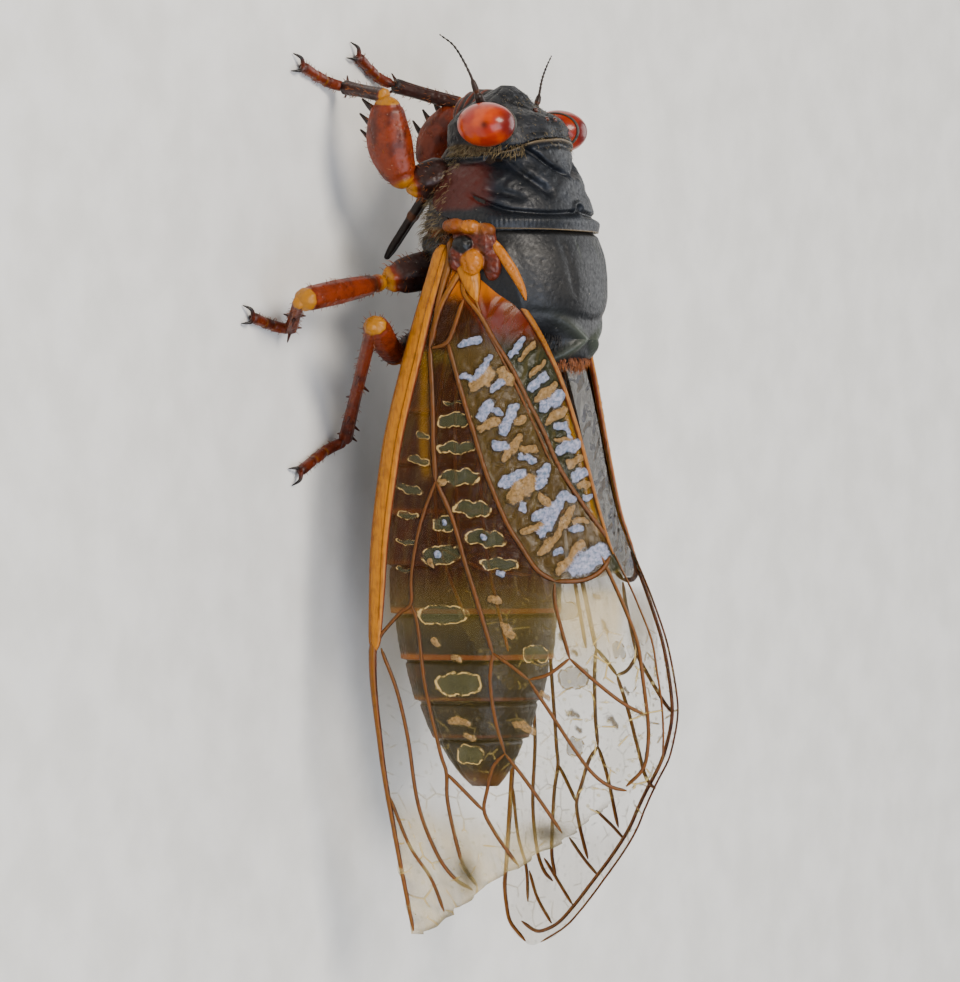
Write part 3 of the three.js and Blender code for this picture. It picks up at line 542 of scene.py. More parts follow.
@dataclass(frozen=True)
class Membrane(Finish):
    """Dry wing membrane, a clear film of chitin that has set in small pleats between the veins.

    The pale bars and the pale rims of the loops, where a pleat turns to the light, are painted reflections, and
    so are the pale lines along the ripples; beside each bar lies a painted shadow, and the rest lets the body
    show through.
    """

    name: str = "wing_membrane_chitin"
    film: str = "#86702E"
    clearness: float = 0.055
    grounds: tuple[Tone, ...] = (
        Tone("amber", "#3E1D05", 0.42),
        Tone("brown", "#54401C", 0.6),
        Tone("olive", "#2E2E1A", 0.8),
        Tone("ochre", "#9A6A00", 0.5),
        Tone("cream", "#C8AE70", 0.38),
        Tone("rust", "#5E1C00", 0.88),
        Tone("gold", "#A85A00", 0.97),
    )
    # Painted highlight along the ripple lines:
    fold: str = "#C4A860"
    speck: str = "#C8B880"
    glaze: str = "#4E5238"
    # Painted highlight round the rim of each swelling:
    thread: str = "#C8A86A"
    # Painted shadow beside each glinting pleat:
    shadow: str = "#17140A"
    # Painted reflections on the glinting pleats, cool and warm:
    sky: str = "#6C8098"
    lilac_reflection: str = "#C2C0D8"
    peach_reflection: str = "#B48E5C"
    tan: str = "#8A6A3C"
    smoke: str = "#120C06"
    waver_per_mm: float = 1.1
    fine_mm: float = 0.3
    grit_mm: float = 0.16
    crease_mm: float = 1.1
    speck_mm: float = 0.8

    def sockets(self, node: AddNode) -> dict[str, object]:
        """Lays the film's markings and its painted reflections, highlights and shadows over each other, and folds
        it.
        """

        def lay(under: tuple, mask: Socket, tone: Socket | tuple, solid: float) -> tuple[Socket, Socket]:
            """Lays one marking over those before it.

            Args:
                under: the colour and the alpha so far.
                mask: where the marking lies.
                tone: its colour.
                solid: its alpha.

            Returns:
                The new colour and alpha.
            """
            colour = node("Mix", {0: mask, 6: under[0], 7: tone}, **COLOUR_MIX)
            return colour, node("Mix", {0: mask, 2: under[1], 3: solid})

        raw = node("UVMap", uv_map="wing_mm")
        flat = node("VectorMath", {0: raw, "Scale": Wing.map_mm}, operation="SCALE")
        waver = node("TexNoise", {"Vector": flat, "Scale": self.waver_per_mm, "Detail": 2.0})
        fine = node("TexNoise", {"Vector": flat, "Scale": 1 / self.fine_mm, "Detail": 4.0})
        rough = {"Detail": 4.0, "Roughness": 0.7}
        grit = node("TexNoise", {"Vector": flat, "Scale": 1 / self.grit_mm} | rough)
        streak = node("VectorMath", {0: flat, 1: (0.35, 3.5, 1.0)}, operation="MULTIPLY")
        streaks = node("TexNoise", {"Vector": streak, "Scale": 1.0, "Detail": 3.0})
        uneven = node("Math", {0: streaks, 1: 0.9, 2: 0.55}, operation="MULTIPLY_ADD")
        layer: tuple = (linear(self.film), self.clearness)
        for ground, mask in zip(self.grounds, painted(node, *(tone.mask for tone in self.grounds))):
            shown = node("Math", {0: mask, 1: uneven}, operation="MULTIPLY", use_clamp=True)
            layer = lay(layer, shown, linear(ground.colour), ground.solid)

        creased, loop, bar, warm_glint, smoke = painted(node, "crease", "loop", "bar", "warm_glint", "smoke")
        crease = node(
            "TexVoronoi",
            {"Vector": flat, "Scale": 1 / self.crease_mm},
            "Distance",
            voronoi_dimensions="2D",
            feature="DISTANCE_TO_EDGE",
        )
        # Pale lines along the edges of the ripple cells are painted highlights on the ripple crests; the pale
        # specks are laid under the same crease number.
        line = node("MapRange", {0: crease, 1: 0.06, 2: 0.0}, **SMOOTH)
        partly = node("MapRange", {0: waver, 1: 0.45, 2: 0.6}, **SMOOTH)
        line = node("Math", {0: line, 1: partly}, operation="MULTIPLY")
        cells = {"Vector": flat, "Scale": 1 / self.speck_mm}
        specks = node("TexVoronoi", cells, "Distance", voronoi_dimensions="2D")
        speck = node("MapRange", {0: specks, 1: 0.16, 2: 0.04, 4: 0.7}, **SMOOTH)
        for mark, tone, solid in ((line, self.fold, 0.8), (speck, self.speck, 0.5)):
            mask = node("Math", {0: mark, 1: creased}, operation="MULTIPLY")
            layer = lay(layer, mask, linear(tone), solid)

        # The loops: a darker glaze inside each swelling, and a pale painted highlight round its rim.
        inside = node("MapRange", {0: loop, 1: 0.48, 2: 0.6, 4: 0.75}, **SMOOTH)
        layer = lay(layer, inside, linear(self.glaze), 0.45)
        off = node("Math", {0: loop, 1: 0.5}, operation="SUBTRACT")
        off = node("Math", {0: off}, operation="ABSOLUTE")
        rim = node("MapRange", {0: off, 1: 0.05, 2: 0.01}, **SMOOTH)
        broken = node("MapRange", {0: fine, 1: 0.35, 2: 0.55}, **SMOOTH)
        thread = node("Math", {0: rim, 1: broken}, operation="MULTIPLY")
        layer = lay(layer, thread, linear(self.thread), 0.75)

        # Painted reflections on the glinting pleats: where the bar number is high the film takes a pale
        # reflection in sky and lilac, or in peach and tan where the warm number is set, with a painted shadow
        # just outside it.
        shaky = node("Math", {0: fine, 1: 0.5}, operation="SUBTRACT")
        lit_pleat_field = node("Math", {0: shaky, 1: 0.5, 2: bar}, operation="MULTIPLY_ADD")
        shadow = node("MapRange", {0: lit_pleat_field, 1: 0.3, 2: 0.44, 4: 0.5}, **SMOOTH)
        layer = lay(layer, shadow, linear(self.shadow), 0.5)
        patch = node("MapRange", {0: lit_pleat_field, 1: 0.47, 2: 0.6, 4: 0.86}, **SMOOTH)
        cloudy = node("MapRange", {0: grit, 1: 0.35, 2: 0.65}, **SMOOTH)
        cool_glint, tan = (
            node("Mix", {0: cloudy, 6: linear(dark), 7: linear(pale)}, **COLOUR_MIX)
            for dark, pale in ((self.sky, self.lilac_reflection), (self.peach_reflection, self.tan))
        )
        glint_tint = node("Mix", {0: warm_glint, 6: cool_glint, 7: tan}, **COLOUR_MIX)
        layer = lay(layer, patch, glint_tint, 0.7)
        layer = lay(layer, smoke, linear(self.smoke), 0.85)

        swell = node("Math", {0: bar, 1: loop}, operation="ADD")
        folds = node("MapRange", {0: crease, 1: 0.0, 2: 0.25}, **SMOOTH)
        relief = None
        for height, depth_mm, strength in ((grit, 0.004, 1.0), (swell, 0.12, 1.0), (folds, 0.05, 0.7)):
            under = {"Normal": relief} if relief else {}
            bump_sockets = {"Height": height, "Distance": depth_mm * MM, "Strength": strength}
            relief = node("Bump", bump_sockets | under)
        values = {"Base Color": layer[0], "Alpha": layer[1], "Roughness": 0.3, "Normal": relief, "IOR": 1.27}
        return values | {"Coat Weight": 0.05, "Coat Roughness": 0.1}


@dataclass(frozen=True)
class VeinChitin(Finish):
    """A wing vein, a hollow rib of tanned chitin, paler along its crest and dark where it meets the film."""

    name: str = "wing_vein_chitin"
    core: str = "#5C3400"
    edge: str = "#200A00"
    gold: str = "#AC6A00"
    gold_edge: str = "#5A1C00"
    shade: str = "#3A1800"
    line: str = "#7A3A00"
    grain_mm: float = 0.35
    line_mm: float = 0.09
    line_depth_mm: float = 0.025

    def sockets(self, node: AddNode) -> dict[str, object]:
        """Crest and edges, gilding, and the fine lines along the vein."""
        spot = place_in_mm(node)
        rim, gold = painted(node, "rim", "gold")
        grain = node("TexNoise", {"Vector": spot, "Scale": 1 / self.grain_mm, "Detail": 3.0})
        drawn = node("VectorMath", {0: spot, 1: (1.0, 0.12, 1.0)}, operation="MULTIPLY")
        lines = node("TexNoise", {"Vector": drawn, "Scale": 1 / self.line_mm, "Detail": 1.0})
        dark = node("MapRange", {0: rim, 1: 0.35, 2: 0.8}, **SMOOTH)
        plain, gilt = (
            node("Mix", {0: dark, 6: linear(crest), 7: linear(edge)}, **COLOUR_MIX)
            for crest, edge in ((self.core, self.edge), (self.gold, self.gold_edge))
        )
        shade = node("MapRange", {0: grain, 1: 0.45, 2: 0.75, 4: 0.4}, **SMOOTH)
        fine = node("MapRange", {0: lines, 1: 0.5, 2: 0.62, 4: 0.35}, **SMOOTH)
        colour = plain
        for mask, tone in ((gold, gilt), (shade, linear(self.shade)), (fine, linear(self.line))):
            colour = node("Mix", {0: mask, 6: colour, 7: tone}, **COLOUR_MIX)
        depth = self.line_depth_mm * MM
        relief = node("Bump", {"Height": lines, "Distance": depth, "Strength": 1.0})
        return {"Base Color": colour, "Roughness": 0.42, "Normal": relief, "IOR": 1.36}


@dataclass(frozen=True)
class Seta(Finish):
    """A short stiff hair of chitin, matt and a little paler at its tip."""

    root: str
    tip: str

    def sockets(self, node: AddNode) -> dict[str, object]:
        """Root to tip, with darker hairs among them."""
        place = node("TexCoord", output="Object")
        (tip,) = painted(node, "second")
        grain = node("TexNoise", {"Vector": place, "Scale": 2.0 / MM, "Detail": 2.0})
        shade = node("MapRange", {0: grain, 1: 0.4, 2: 0.7, 4: 0.5}, **SMOOTH)
        colour = linear(self.root)
        for mask, tone in ((tip, self.tip), (shade, self.root)):
            colour = node("Mix", {0: mask, 6: colour, 7: linear(tone)}, **COLOUR_MIX)
        return {"Base Color": colour, "Roughness": 0.55, "IOR": 1.45}


@dataclass(frozen=True)
class Card(Finish):
    """Matt pale card for the studio floor, with a faint fibre."""

    name: str = "pale_studio_card"
    base: str = "#E9E7E1"
    shade: str = "#DEDCD5"

    def sockets(self, node: AddNode) -> dict[str, object]:
        """The fibre, a few mm long."""
        place = node("TexCoord", output="Object")
        fibre = node("TexNoise", {"Vector": place, "Scale": 0.33 / MM, "Detail": 4.0})
        patchy = node("MapRange", {0: fibre, 1: 0.3, 2: 0.7}, **SMOOTH)
        shades = {0: patchy, 6: linear(self.base), 7: linear(self.shade)}
        return {"Base Color": node("Mix", shades, **COLOUR_MIX), "Roughness": 0.85}


FINISHES = (
    Cuticle(
        "pitted_head_cuticle", "#0D0E11", "#1A1B1F", "#4A3A22", "#7A7666", 0.52, dust=0.6, pit_depth_mm=0.05
    ),
    Cuticle("waxed_black_cuticle", "#080B10", "#10151D", "#400E03", "#A98C5C", 0.46, pit_mm=0.42),
    Cuticle(
        "satin_black_cuticle", "#0C0D0F", "#151413", "#34190E", "#4C5244", 0.45, mottle_mm=2.4, pit_mm=0.5
    ),
    Cuticle("furrowed_flank_cuticle", "#0F0C09", "#21140C", "#6A2404", "#966010", 0.5, dust=0.4),
    Cuticle(
        "hinge_plate_cuticle", "#5A1C02", "#300E02", "#A86000", "#060505", 0.42, mottle_mm=0.8, pit_depth_mm=0.04
    ),
    Cuticle("banded_abdomen_cuticle", "#0D0805", "#170D06", "#7A3600", "#9A5208", 0.42, pit_mm=0.36, dust=0.05),
    Cuticle("rust_leg_cuticle", "#742600", "#4C1400", "#A06600", "#140B07", 0.42, mottle_mm=0.7, grain_mm=0.22),
    Cuticle("feeler_cuticle", "#22120A", "#2E1A10", "#5A3010", "#0A0706", 0.4),
    Cuticle("amber_bead_lens", "#4A1E04", "#301204", "#7A3A08", "#1A0802", 0.2, coat=0.4),
    EyeLens(),
    Membrane(),
    VeinChitin(),
    Seta("pale_setae", "#4A3C26", "#A8946A"),
    Seta("dark_setae", "#0A0908", "#241E1A"),
    Seta("rust_setae", "#5A2406", "#A85E14"),
    Card(),
)


class Workshop:
    """The finishes, each built once, and the step that puts a finished piece on the model."""

    def __init__(self) -> None:
        """Builds every finish."""
        self.made = {finish.name: finish.material() for finish in FINISHES}

    def install(self, piece: Piece, finish: str, slot: Slot, *nodes: str) -> Piece:
        """Dresses a finished piece and fixes it to the model.

        Args:
            piece: the mesh object, at the origin.
            finish: the name of its finish.
            slot: the record's material slot, which is not used.
            nodes: the CAD nodes that it stands for.

        Returns:
            The same object.
        """
        piece.data.materials.clear()
        piece.data.materials.append(self.made[finish])
        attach(piece, "root")
        if nodes:
            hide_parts(*nodes)
        LOG.info("%s: %d faces in %s", piece.name, len(piece.data.polygons), finish)
        return piece


@dataclass(frozen=True)
class Trunk:
    """The skin of the head, thorax and abdomen, as rings along the animal."""

    wide: Track = Track((
        (0, 0.5), (0.3, 1.1), (0.9, 2.25), (1.4, 2.95), (1.9, 3.25), (2.9, 3.2), (3.3, 3.1), (4.4, 3.8),
        (5.6, 4.35), (6.6, 4.8), (6.9, 4.5), (8.2, 4.55), (9.6, 4.4), (11, 3.8), (12.4, 3.2), (13.2, 3.8),
        (16, 4.0), (20, 4.1), (23, 3.9), (26.3, 3.3), (28.5, 2.6), (30.6, 1.7), (31.5, 1.1), (31.9, 0.6),
    ))  # fmt: skip
    top: Track = Track((
        (0, 7.6), (0.3, 7.95), (0.9, 8.4), (1.5, 9.5), (1.9, 9.85), (2.5, 10.05), (3.3, 10.2), (4.4, 10.65),
        (5.6, 11.0), (6.6, 11.15), (8, 11.65), (9.6, 11.8), (11, 11.55), (12.3, 11.2), (12.7, 10.7),
        (13.1, 9.7), (16, 9.75), (20, 9.6), (23, 9.45), (26.3, 9.0), (29, 8.2), (31, 7.4), (31.9, 6.8),
    ))  # fmt: skip
    bottom: Track = Track((
        (0, 7.1), (0.3, 6.7), (0.9, 5.95), (1.4, 5.3), (1.9, 4.9), (2.9, 4.8), (3.8, 4.4), (5, 4.0), (7, 3.7),
        (10, 3.6), (12.6, 3.4), (14, 2.8), (16, 2.2), (18, 1.9), (20, 1.8), (23, 1.95), (26.3, 2.6),
        (28.5, 3.4), (31, 4.8), (31.9, 5.6),
    ))  # fmt: skip
    squareness: float = 0.92

    def upright(self, back: Array) -> tuple[Array, Array]:
        """The height of the middle and half the height of the section, in mm."""
        top, bottom = self.top(back), self.bottom(back)
        return (top + bottom) / 2, (top - bottom) / 2

    def skin(self, back: Array, angle: Array, rise: Array | float = 0.0, share: Array | float = 1.0) -> Array:
        """Points on or under the skin.

        Args:
            back: how far behind the head's front, in mm.
            angle: round the section, 0 at the left side and a quarter turn at the top.
            rise: how far outside the plain skin, in mm.
            share: 1 on the skin and 0 on the axis.

        Returns:
            The points in mm.
        """
        middle, tall = self.upright(back)
        wide = self.wide(back)
        cos, sin = np.cos(angle), np.sin(angle)
        out = wide * np.sign(cos) * np.abs(cos) ** self.squareness
        up = tall * np.sign(sin) * np.abs(sin) ** self.squareness
        reach = np.hypot(out, up)
        scale = share * (reach + rise) / reach
        return at(out * scale, back, middle + up * scale)

    def angle_at(self, back: Array, height: Array | float) -> Array:
        """The angle on the left side at which the skin is at a height in mm."""
        middle, tall = self.upright(back)
        lift = np.clip((height - middle) / tall, -0.97, 0.97)
        return np.arcsin(np.sign(lift) * np.abs(lift) ** (1 / self.squareness))

    def outward(self, back: Array, angle: Array) -> Array:
        """The direction straight out of the skin."""
        small = 0.02
        along = self.skin(back + small, angle) - self.skin(back - small, angle)
        round_about = self.skin(back, angle + small) - self.skin(back, angle - small)
        return unit(np.cross(round_about, along))

    def tube(
        self,
        name: str,
        around: int,
        rings: int,
        ends: tuple[float, float],
        rise: SheetPlace,
        spread: float = 0.0,
    ) -> Piece:
        """A closed piece of the trunk, from one ring to another.

        Args:
            name: the object's name.
            around: points in each ring.
            rings: spans from end to end.
            ends: where it starts and ends, in mm behind the head's front.
            rise: gives mm outside the plain skin from back and angle.
            spread: how much closer its rings are at the front, from 0 to 1.

        Returns:
            The mesh object.
        """

        def place(along: Array, angle: Array, share: Array) -> Array:
            """Puts the cylinder's points on the trunk."""
            back = ends[0] + (ends[1] - ends[0]) * ((1 - spread) * along + spread * along**1.6)
            return self.skin(back, angle, np.where(share > 0.5, rise(back, angle), 0.0), share)

        return closed_tube(name, around, rings, place)


def slope_degrees(angle: Array) -> Array:
    """How far up its side a point is, in degrees: 0 at the side, 90 at the top and -90 at the belly."""
    return np.degrees(np.arcsin(np.clip(np.sin(angle), -1, 1)))


@dataclass(frozen=True)
class Groove:
    """A groove across the body, the same on both sides."""

    line: Pairs  # degrees up the side, mm back
    width: float
    depth: float

    def cut(self, back: Array, slope: Array) -> Array:
        """How deep the groove is at each point, in mm."""
        low, high = self.line[0][0], self.line[-1][0]
        inside = ease(slope, low - 4, low + 5) * (1 - ease(slope, high - 4, high + 6))
        return -self.depth * bump(back, Track(self.line)(slope), self.width) * inside


@dataclass
class Setae:
    """Short stiff hairs, each a thin cone with three sides and one bend."""

    name: str
    finish: str
    slot: Slot
    seed: int
    patch: float = 0.003  # width of each hair's patch on the map for baking
    meshes: list[tuple[Array, Array, Array]] = field(default_factory=list)

    def grow(self, roots: Array, out: Array, lie: Array, length: Array, radius: float, where: Array) -> None:
        """Adds hairs.

        Args:
            roots: where they stand, in mm.
            out: the directions straight out of the skin.
            lie: the directions in which they lean.
            length: each hair's length in mm.
            radius: the radius at the root in mm.
            where: each root's place on the skin's own unwrap, from 0 to 1.
        """
        draw = np.random.default_rng(self.seed + len(self.meshes))
        count = len(roots)
        out = unit(out)
        lean = unit(lie + 0.35 * draw.normal(size=(count, 3)))
        rise = unit(out * 0.8 + lean * 0.6)
        side = unit(np.cross(rise, out + 1e-3))
        third = np.cross(rise, side)
        length = np.broadcast_to(length, count)[:, None] * draw.uniform(0.6, 1.25, (count, 1))
        bend = roots + rise * length * 0.5
        tip = bend + unit(rise * 0.55 + lean * 0.7) * length * 0.5
        rings = []
        for base, thick in ((roots - out * 0.04, radius), (bend, radius * 0.75)):
            for corner in range(3):
                turn = 2 * math.pi * corner / 3
                rings.append(base + thick * (side * math.cos(turn) + third * math.sin(turn)))
        rings.append(tip)
        points = np.stack(rings, axis=1)
        clear = points[..., 2].min(axis=1) > 0  # none stabs the floor
        tips = np.tile([0.0, 0.0, 0.0, 0.5, 0.5, 0.5, 1.0], (np.count_nonzero(clear), 1))
        self.meshes.append((points[clear], where[clear], tips))

    def build(self, shop: Workshop) -> Piece:
        """Makes the hairs one mesh with its map for baking.

        Args:
            shop: the finishes.

        Returns:
            The dressed object.
        """
        points = np.concatenate([m[0] for m in self.meshes])
        where = np.concatenate([m[1] for m in self.meshes])
        tips = np.concatenate([m[2] for m in self.meshes])
        quads = [(i, (i + 1) % 3, (i + 1) % 3 + 3, i + 3) for i in range(3)]
        ends = [(i + 3, (i + 1) % 3 + 3, 6) for i in range(3)] + [(2, 1, 0)]
        corner_place = np.array([(0, 0), (0.5, 0), (1, 0), (0, 0.5), (0.5, 0.5), (1, 0.5), (0.5, 1)]) - 0.5
        faces = [tuple(7 * hair + i for i in face) for hair in range(len(points)) for face in quads + ends]
        mesh = bpy.data.meshes.new(self.name)
        mesh.from_pydata(in_frame(points.reshape(-1, 3)).tolist(), [], faces)
        piece = bpy.data.objects.new(self.name, mesh)
        bpy.context.scene.collection.objects.link(piece)
        corners = np.empty(len(mesh.loops), int)
        mesh.loops.foreach_get("vertex_index", corners)
        spots = where[corners // 7] * (1 - self.patch) + self.patch * (corner_place[corners % 7] + 0.5)
        mesh.uv_layers.new(name="OFBake").data.foreach_set("uv", spots.astype(np.float32).ravel())
        paint(piece, "second", tips.ravel())
        close_up(piece, 80)
        return shop.install(piece, self.finish, self.slot)


@dataclass
class TrunkHair:
    """Scatters hairs over patches of the trunk."""

    trunk: Trunk
    seed: int

    def scatter(
        self,
        hairs: Setae,
        backs: tuple[float, float],
        slopes: tuple[float, float],
        count: int,
        length: float,
        radius: float,
        rise: float = 0.0,
    ) -> None:
        """Adds hairs on both sides between two rings and two slopes.

        Args:
            hairs: what they are added to.
            backs: from and to, in mm behind the head's front.
            slopes: from and to, in degrees up the side.
            count: how many.
            length: their length in mm.
            radius: the radius at the root in mm.
            rise: how far the real skin stands off the plain one, in mm.
        """
        draw = np.random.default_rng(self.seed + count + int(100 * backs[0]))
        back = draw.uniform(*backs, count)
        angle = np.radians(draw.uniform(*slopes, count))
        angle = np.where(draw.random(count) < 0.5, angle, math.pi - angle)
        roots = self.trunk.skin(back, angle, rise)
        out = self.trunk.outward(back, angle)
        out *= np.sign(np.sum(out * (roots - self.trunk.skin(back, angle, 0, 0.5)), axis=1))[:, None]
        where = np.stack([(angle / (2 * math.pi)) % 1.0, back / 40.0], axis=1)
        hairs.grow(roots, out, at(0 * back, 1 + 0 * back, -0.35 + 0 * back), length, radius, where)


@dataclass(frozen=True)
class Limb:
    """A tube along a smooth path, with a radius that changes and rounded ends."""

    path: Sequence[Sequence[float]]
    radii: Pairs
    flat: float = 1.0
    ends: float = 0.9  # how much of its radius an end is rounded over

    def middle(self, along: Array) -> tuple[Array, Array]:
        """The path's points and directions at shares of its length."""
        knots = np.array(self.path, float)
        if len(knots) == 2:
            points = knots[0] + np.linspace(0, 1, 200)[:, None] * (knots[1] - knots[0])
        else:
            padded = np.vstack([2 * knots[0] - knots[1], knots, 2 * knots[-1] - knots[-2]])
            spans = []
            for i in range(len(knots) - 1):
                p0, p1, p2, p3 = padded[i : i + 4]
                u = np.linspace(0, 1, 60, endpoint=i == len(knots) - 2)[:, None]
                square, cube = 2 * p0 - 5 * p1 + 4 * p2 - p3, 3 * p1 - p0 - 3 * p2 + p3
                spans.append(0.5 * (2 * p1 + (p2 - p0) * u + square * u**2 + cube * u**3))
            points = np.vstack(spans)
        gone = np.concatenate([[0], np.cumsum(np.linalg.norm(np.diff(points, axis=0), axis=1))])
        gone /= gone[-1]
        spot, ahead, behind = (
            np.stack([np.interp(share, gone, points[:, k]) for k in range(3)], axis=-1)
            for share in (along, np.minimum(along + 0.02, 1), np.maximum(along - 0.02, 0))
        )
        return spot, unit(ahead - behind)

    @property
    def length(self) -> float:
        """The straight lengths between its points, in mm."""
        return float(np.sum(np.linalg.norm(np.diff(np.array(self.path, float), axis=0), axis=1)))

    def axes(self, ahead: Array) -> tuple[Array, Array]:
        """The two directions across the tube."""
        steep = abs(np.mean(ahead[..., 2])) > 0.8
        upright = np.array([0.0, 1.0, 0.0]) if steep else np.array([0.0, 0.0, 1.0])
        side = unit(np.cross(ahead, upright))
        return side, np.cross(side, ahead)

    def radius(self, along: Array) -> Array:
        """The radius in mm at shares of the length, with the rounded ends."""
        plain = Track(self.radii)(along)
        near_end = np.minimum(along, 1 - along) * self.length / (plain * self.ends)
        return plain * np.sqrt(np.clip(1 - np.clip(1 - near_end, 0, 1) ** 2, 0.0, 1))

    def surface(
        self, along: Array, angle: Array, share: Array | float = 1.0, rise: Array | float = 0.0
    ) -> Array:
        """Points on the tube.

        Args:
            along: shares of its length.
            angle: round it.
            share: 1 on the skin and 0 on the axis.
            rise: how far outside the plain skin, in mm.

        Returns:
            The points in mm.
        """
        spot, ahead = self.middle(along)
        side, up = self.axes(ahead)
        plain = self.radius(along)
        reach = (plain + rise * (plain > 0.02)) * share
        spot = spot + side * (reach * np.cos(angle) * self.flat)[:, None]
        return spot + up * (reach * np.sin(angle))[:, None]

    def build(self, name: str, around: int, rings: int, rise: SheetPlace | None = None) -> Piece:
        """Makes the tube.

        Args:
            name: the object's name.
            around: points in each ring.
            rings: spans from end to end.
            rise: how far outside the plain skin, from the share along and the angle.

        Returns:
            The mesh object.
        """

        def place(along: Array, angle: Array, share: Array) -> Array:
            """Puts the cylinder's points on the limb."""
            warped = (1 - np.cos(np.pi * along)) / 2 * 0.35 + along * 0.65
            extra = rise(warped, angle) if rise else 0.0
            return self.surface(warped, angle, share, extra)

        return closed_tube(name, around, rings, place)

    def shares(self, piece: Piece) -> Array:
        """How far along the limb each of a mesh's points is."""
        line, _ = self.middle(np.linspace(0, 1, 80))
        points = mm_points(piece)
        away = np.linalg.norm(points[:, None, :] - line[None, :, :], axis=2)
        return np.argmin(away, axis=1) / 79


@dataclass
class Head:
    """The head capsule with its bead eyes, and the ribbed face under it."""

    trunk: Trunk
    back_end: float = 3.45
    around: int = 160
    rings: int = 90
    bead_spots: Pairs = ((0.0, 1.15), (0.36, 1.6), (-0.36, 1.6))
    bead_radius: float = 0.13
    crown_radius: float = 3.2
    face_centre: Spot = (0.0, 1.55, 6.5)
    face_half: Spot = (1.6, 1.4, 1.75)
    face_tip: float = -0.3
    face_ribs: int = 9

    def relief(self, back: Array, angle: Array) -> Array:
        """The grooves between the face, the crown and the plates over the feelers, in mm."""
        slope = slope_degrees(angle)
        side = np.abs(np.cos(angle))
        lift = 0.1 * bump(back, 0.75, 0.35) * bump(slope, 26, 16)
        lift -= 0.16 * bump(back, 0.42 + 0.9 * (1 - side), 0.12) * ease(slope, 18, 34)
        lift -= 0.12 * bump(slope, 90, 6) * ease(back, 0.8, 1.3) * (1 - ease(back, 2.6, 3.2))
        lift -= 0.12 * bump(back, 2.2, 0.16) * bump(slope, 62, 14)
        lift += 0.08 * bump(back, 1.35, 0.3) * bump(slope, 80, 10)
        lift -= 0.14 * bump(back, 3.0, 0.14)
        lift -= 0.1 * bump(slope, 10, 5) * (1 - ease(back, 1.0, 1.6))
        lift -= 0.3 * ease(back - Pronotum.front_edge(slope), -0.12, 0.12)
        lift += 0.03 * ripple(back * 1.6, slope / 14, 1.1, 5) * ease(back, 0.1, 0.5)
        return lift * ease(back, 0.0, 0.35)

    def build_capsule(self, shop: Workshop) -> None:
        """Makes the capsule, with its rings closer at the front."""
        ends = (0.0, self.back_end)
        capsule = self.trunk.tube("head_capsule", self.around, self.rings, ends, self.relief, 0.75)
        points = mm_points(capsule)
        paint(capsule, "accent", 0.85 * bump(points[:, 1], 3.05, 0.3) * ease(points[:, 2], 9.0, 7.2))
        paint(capsule, "second", 0.18 * bump(points[:, 2], 8.9, 0.3) * (points[:, 1] < 0.8))
        shop.install(close_up(capsule), "pitted_head_cuticle", Slot.SHELL, "head")

    def build_beads(self, shop: Workshop) -> None:
        """Makes the three small bead eyes on the crown."""
        beads = []
        for out, back in self.bead_spots:
            angle = np.array([math.pi / 2 - out / self.crown_radius])
            spot = self.trunk.skin(np.array([back]), angle, -0.06)[0]
            bead = ball("bead", spot, (self.bead_radius,) * 3, 20)
            paint(bead, "second", 0.0)
            beads.append(bead)
        shop.install(close_up(joined("bead_eyes", beads)), "amber_bead_lens", Slot.EYE)

    def build_face(self, shop: Workshop) -> None:
        """Makes the swollen ribbed face, with its smooth middle stripe."""
        face = ball("ribbed_face", (0, 0, 0), (1, 1, 1), 96)
        points = mm_points(face)
        rib = np.cos(points[:, 2] * self.face_ribs * math.pi)
        off_stripe = ease(np.abs(points[:, 0]), 0.12, 0.3) * ease(np.abs(points[:, 0]), 0.97, 0.8)
        grown = points * (1 + 0.035 * rib * off_stripe * (points[:, 1] < 0.25))[:, None]
        shaped = grown * np.array(self.face_half)
        cos, sin = math.cos(self.face_tip), math.sin(self.face_tip)
        out, back, height = shaped.T
        turned = at(out, back * cos - height * sin, back * sin + height * cos)
        move_points(face, turned + np.array(self.face_centre))
        paint(face, "accent", 0.75 * off_stripe * (0.5 + 0.5 * rib))
        paint(face, "second", 0.5 * (1 - ease(np.abs(points[:, 0]), 0.05, 0.16)) * (points[:, 1] < 0))
        shop.install(close_up(face), "furrowed_flank_cuticle", Slot.SHELL, "face")

    def build(self, shop: Workshop) -> None:
        """Makes the whole head but the eyes and feelers."""
        self.build_capsule(shop)
        self.build_beads(shop)
        self.build_face(shop)


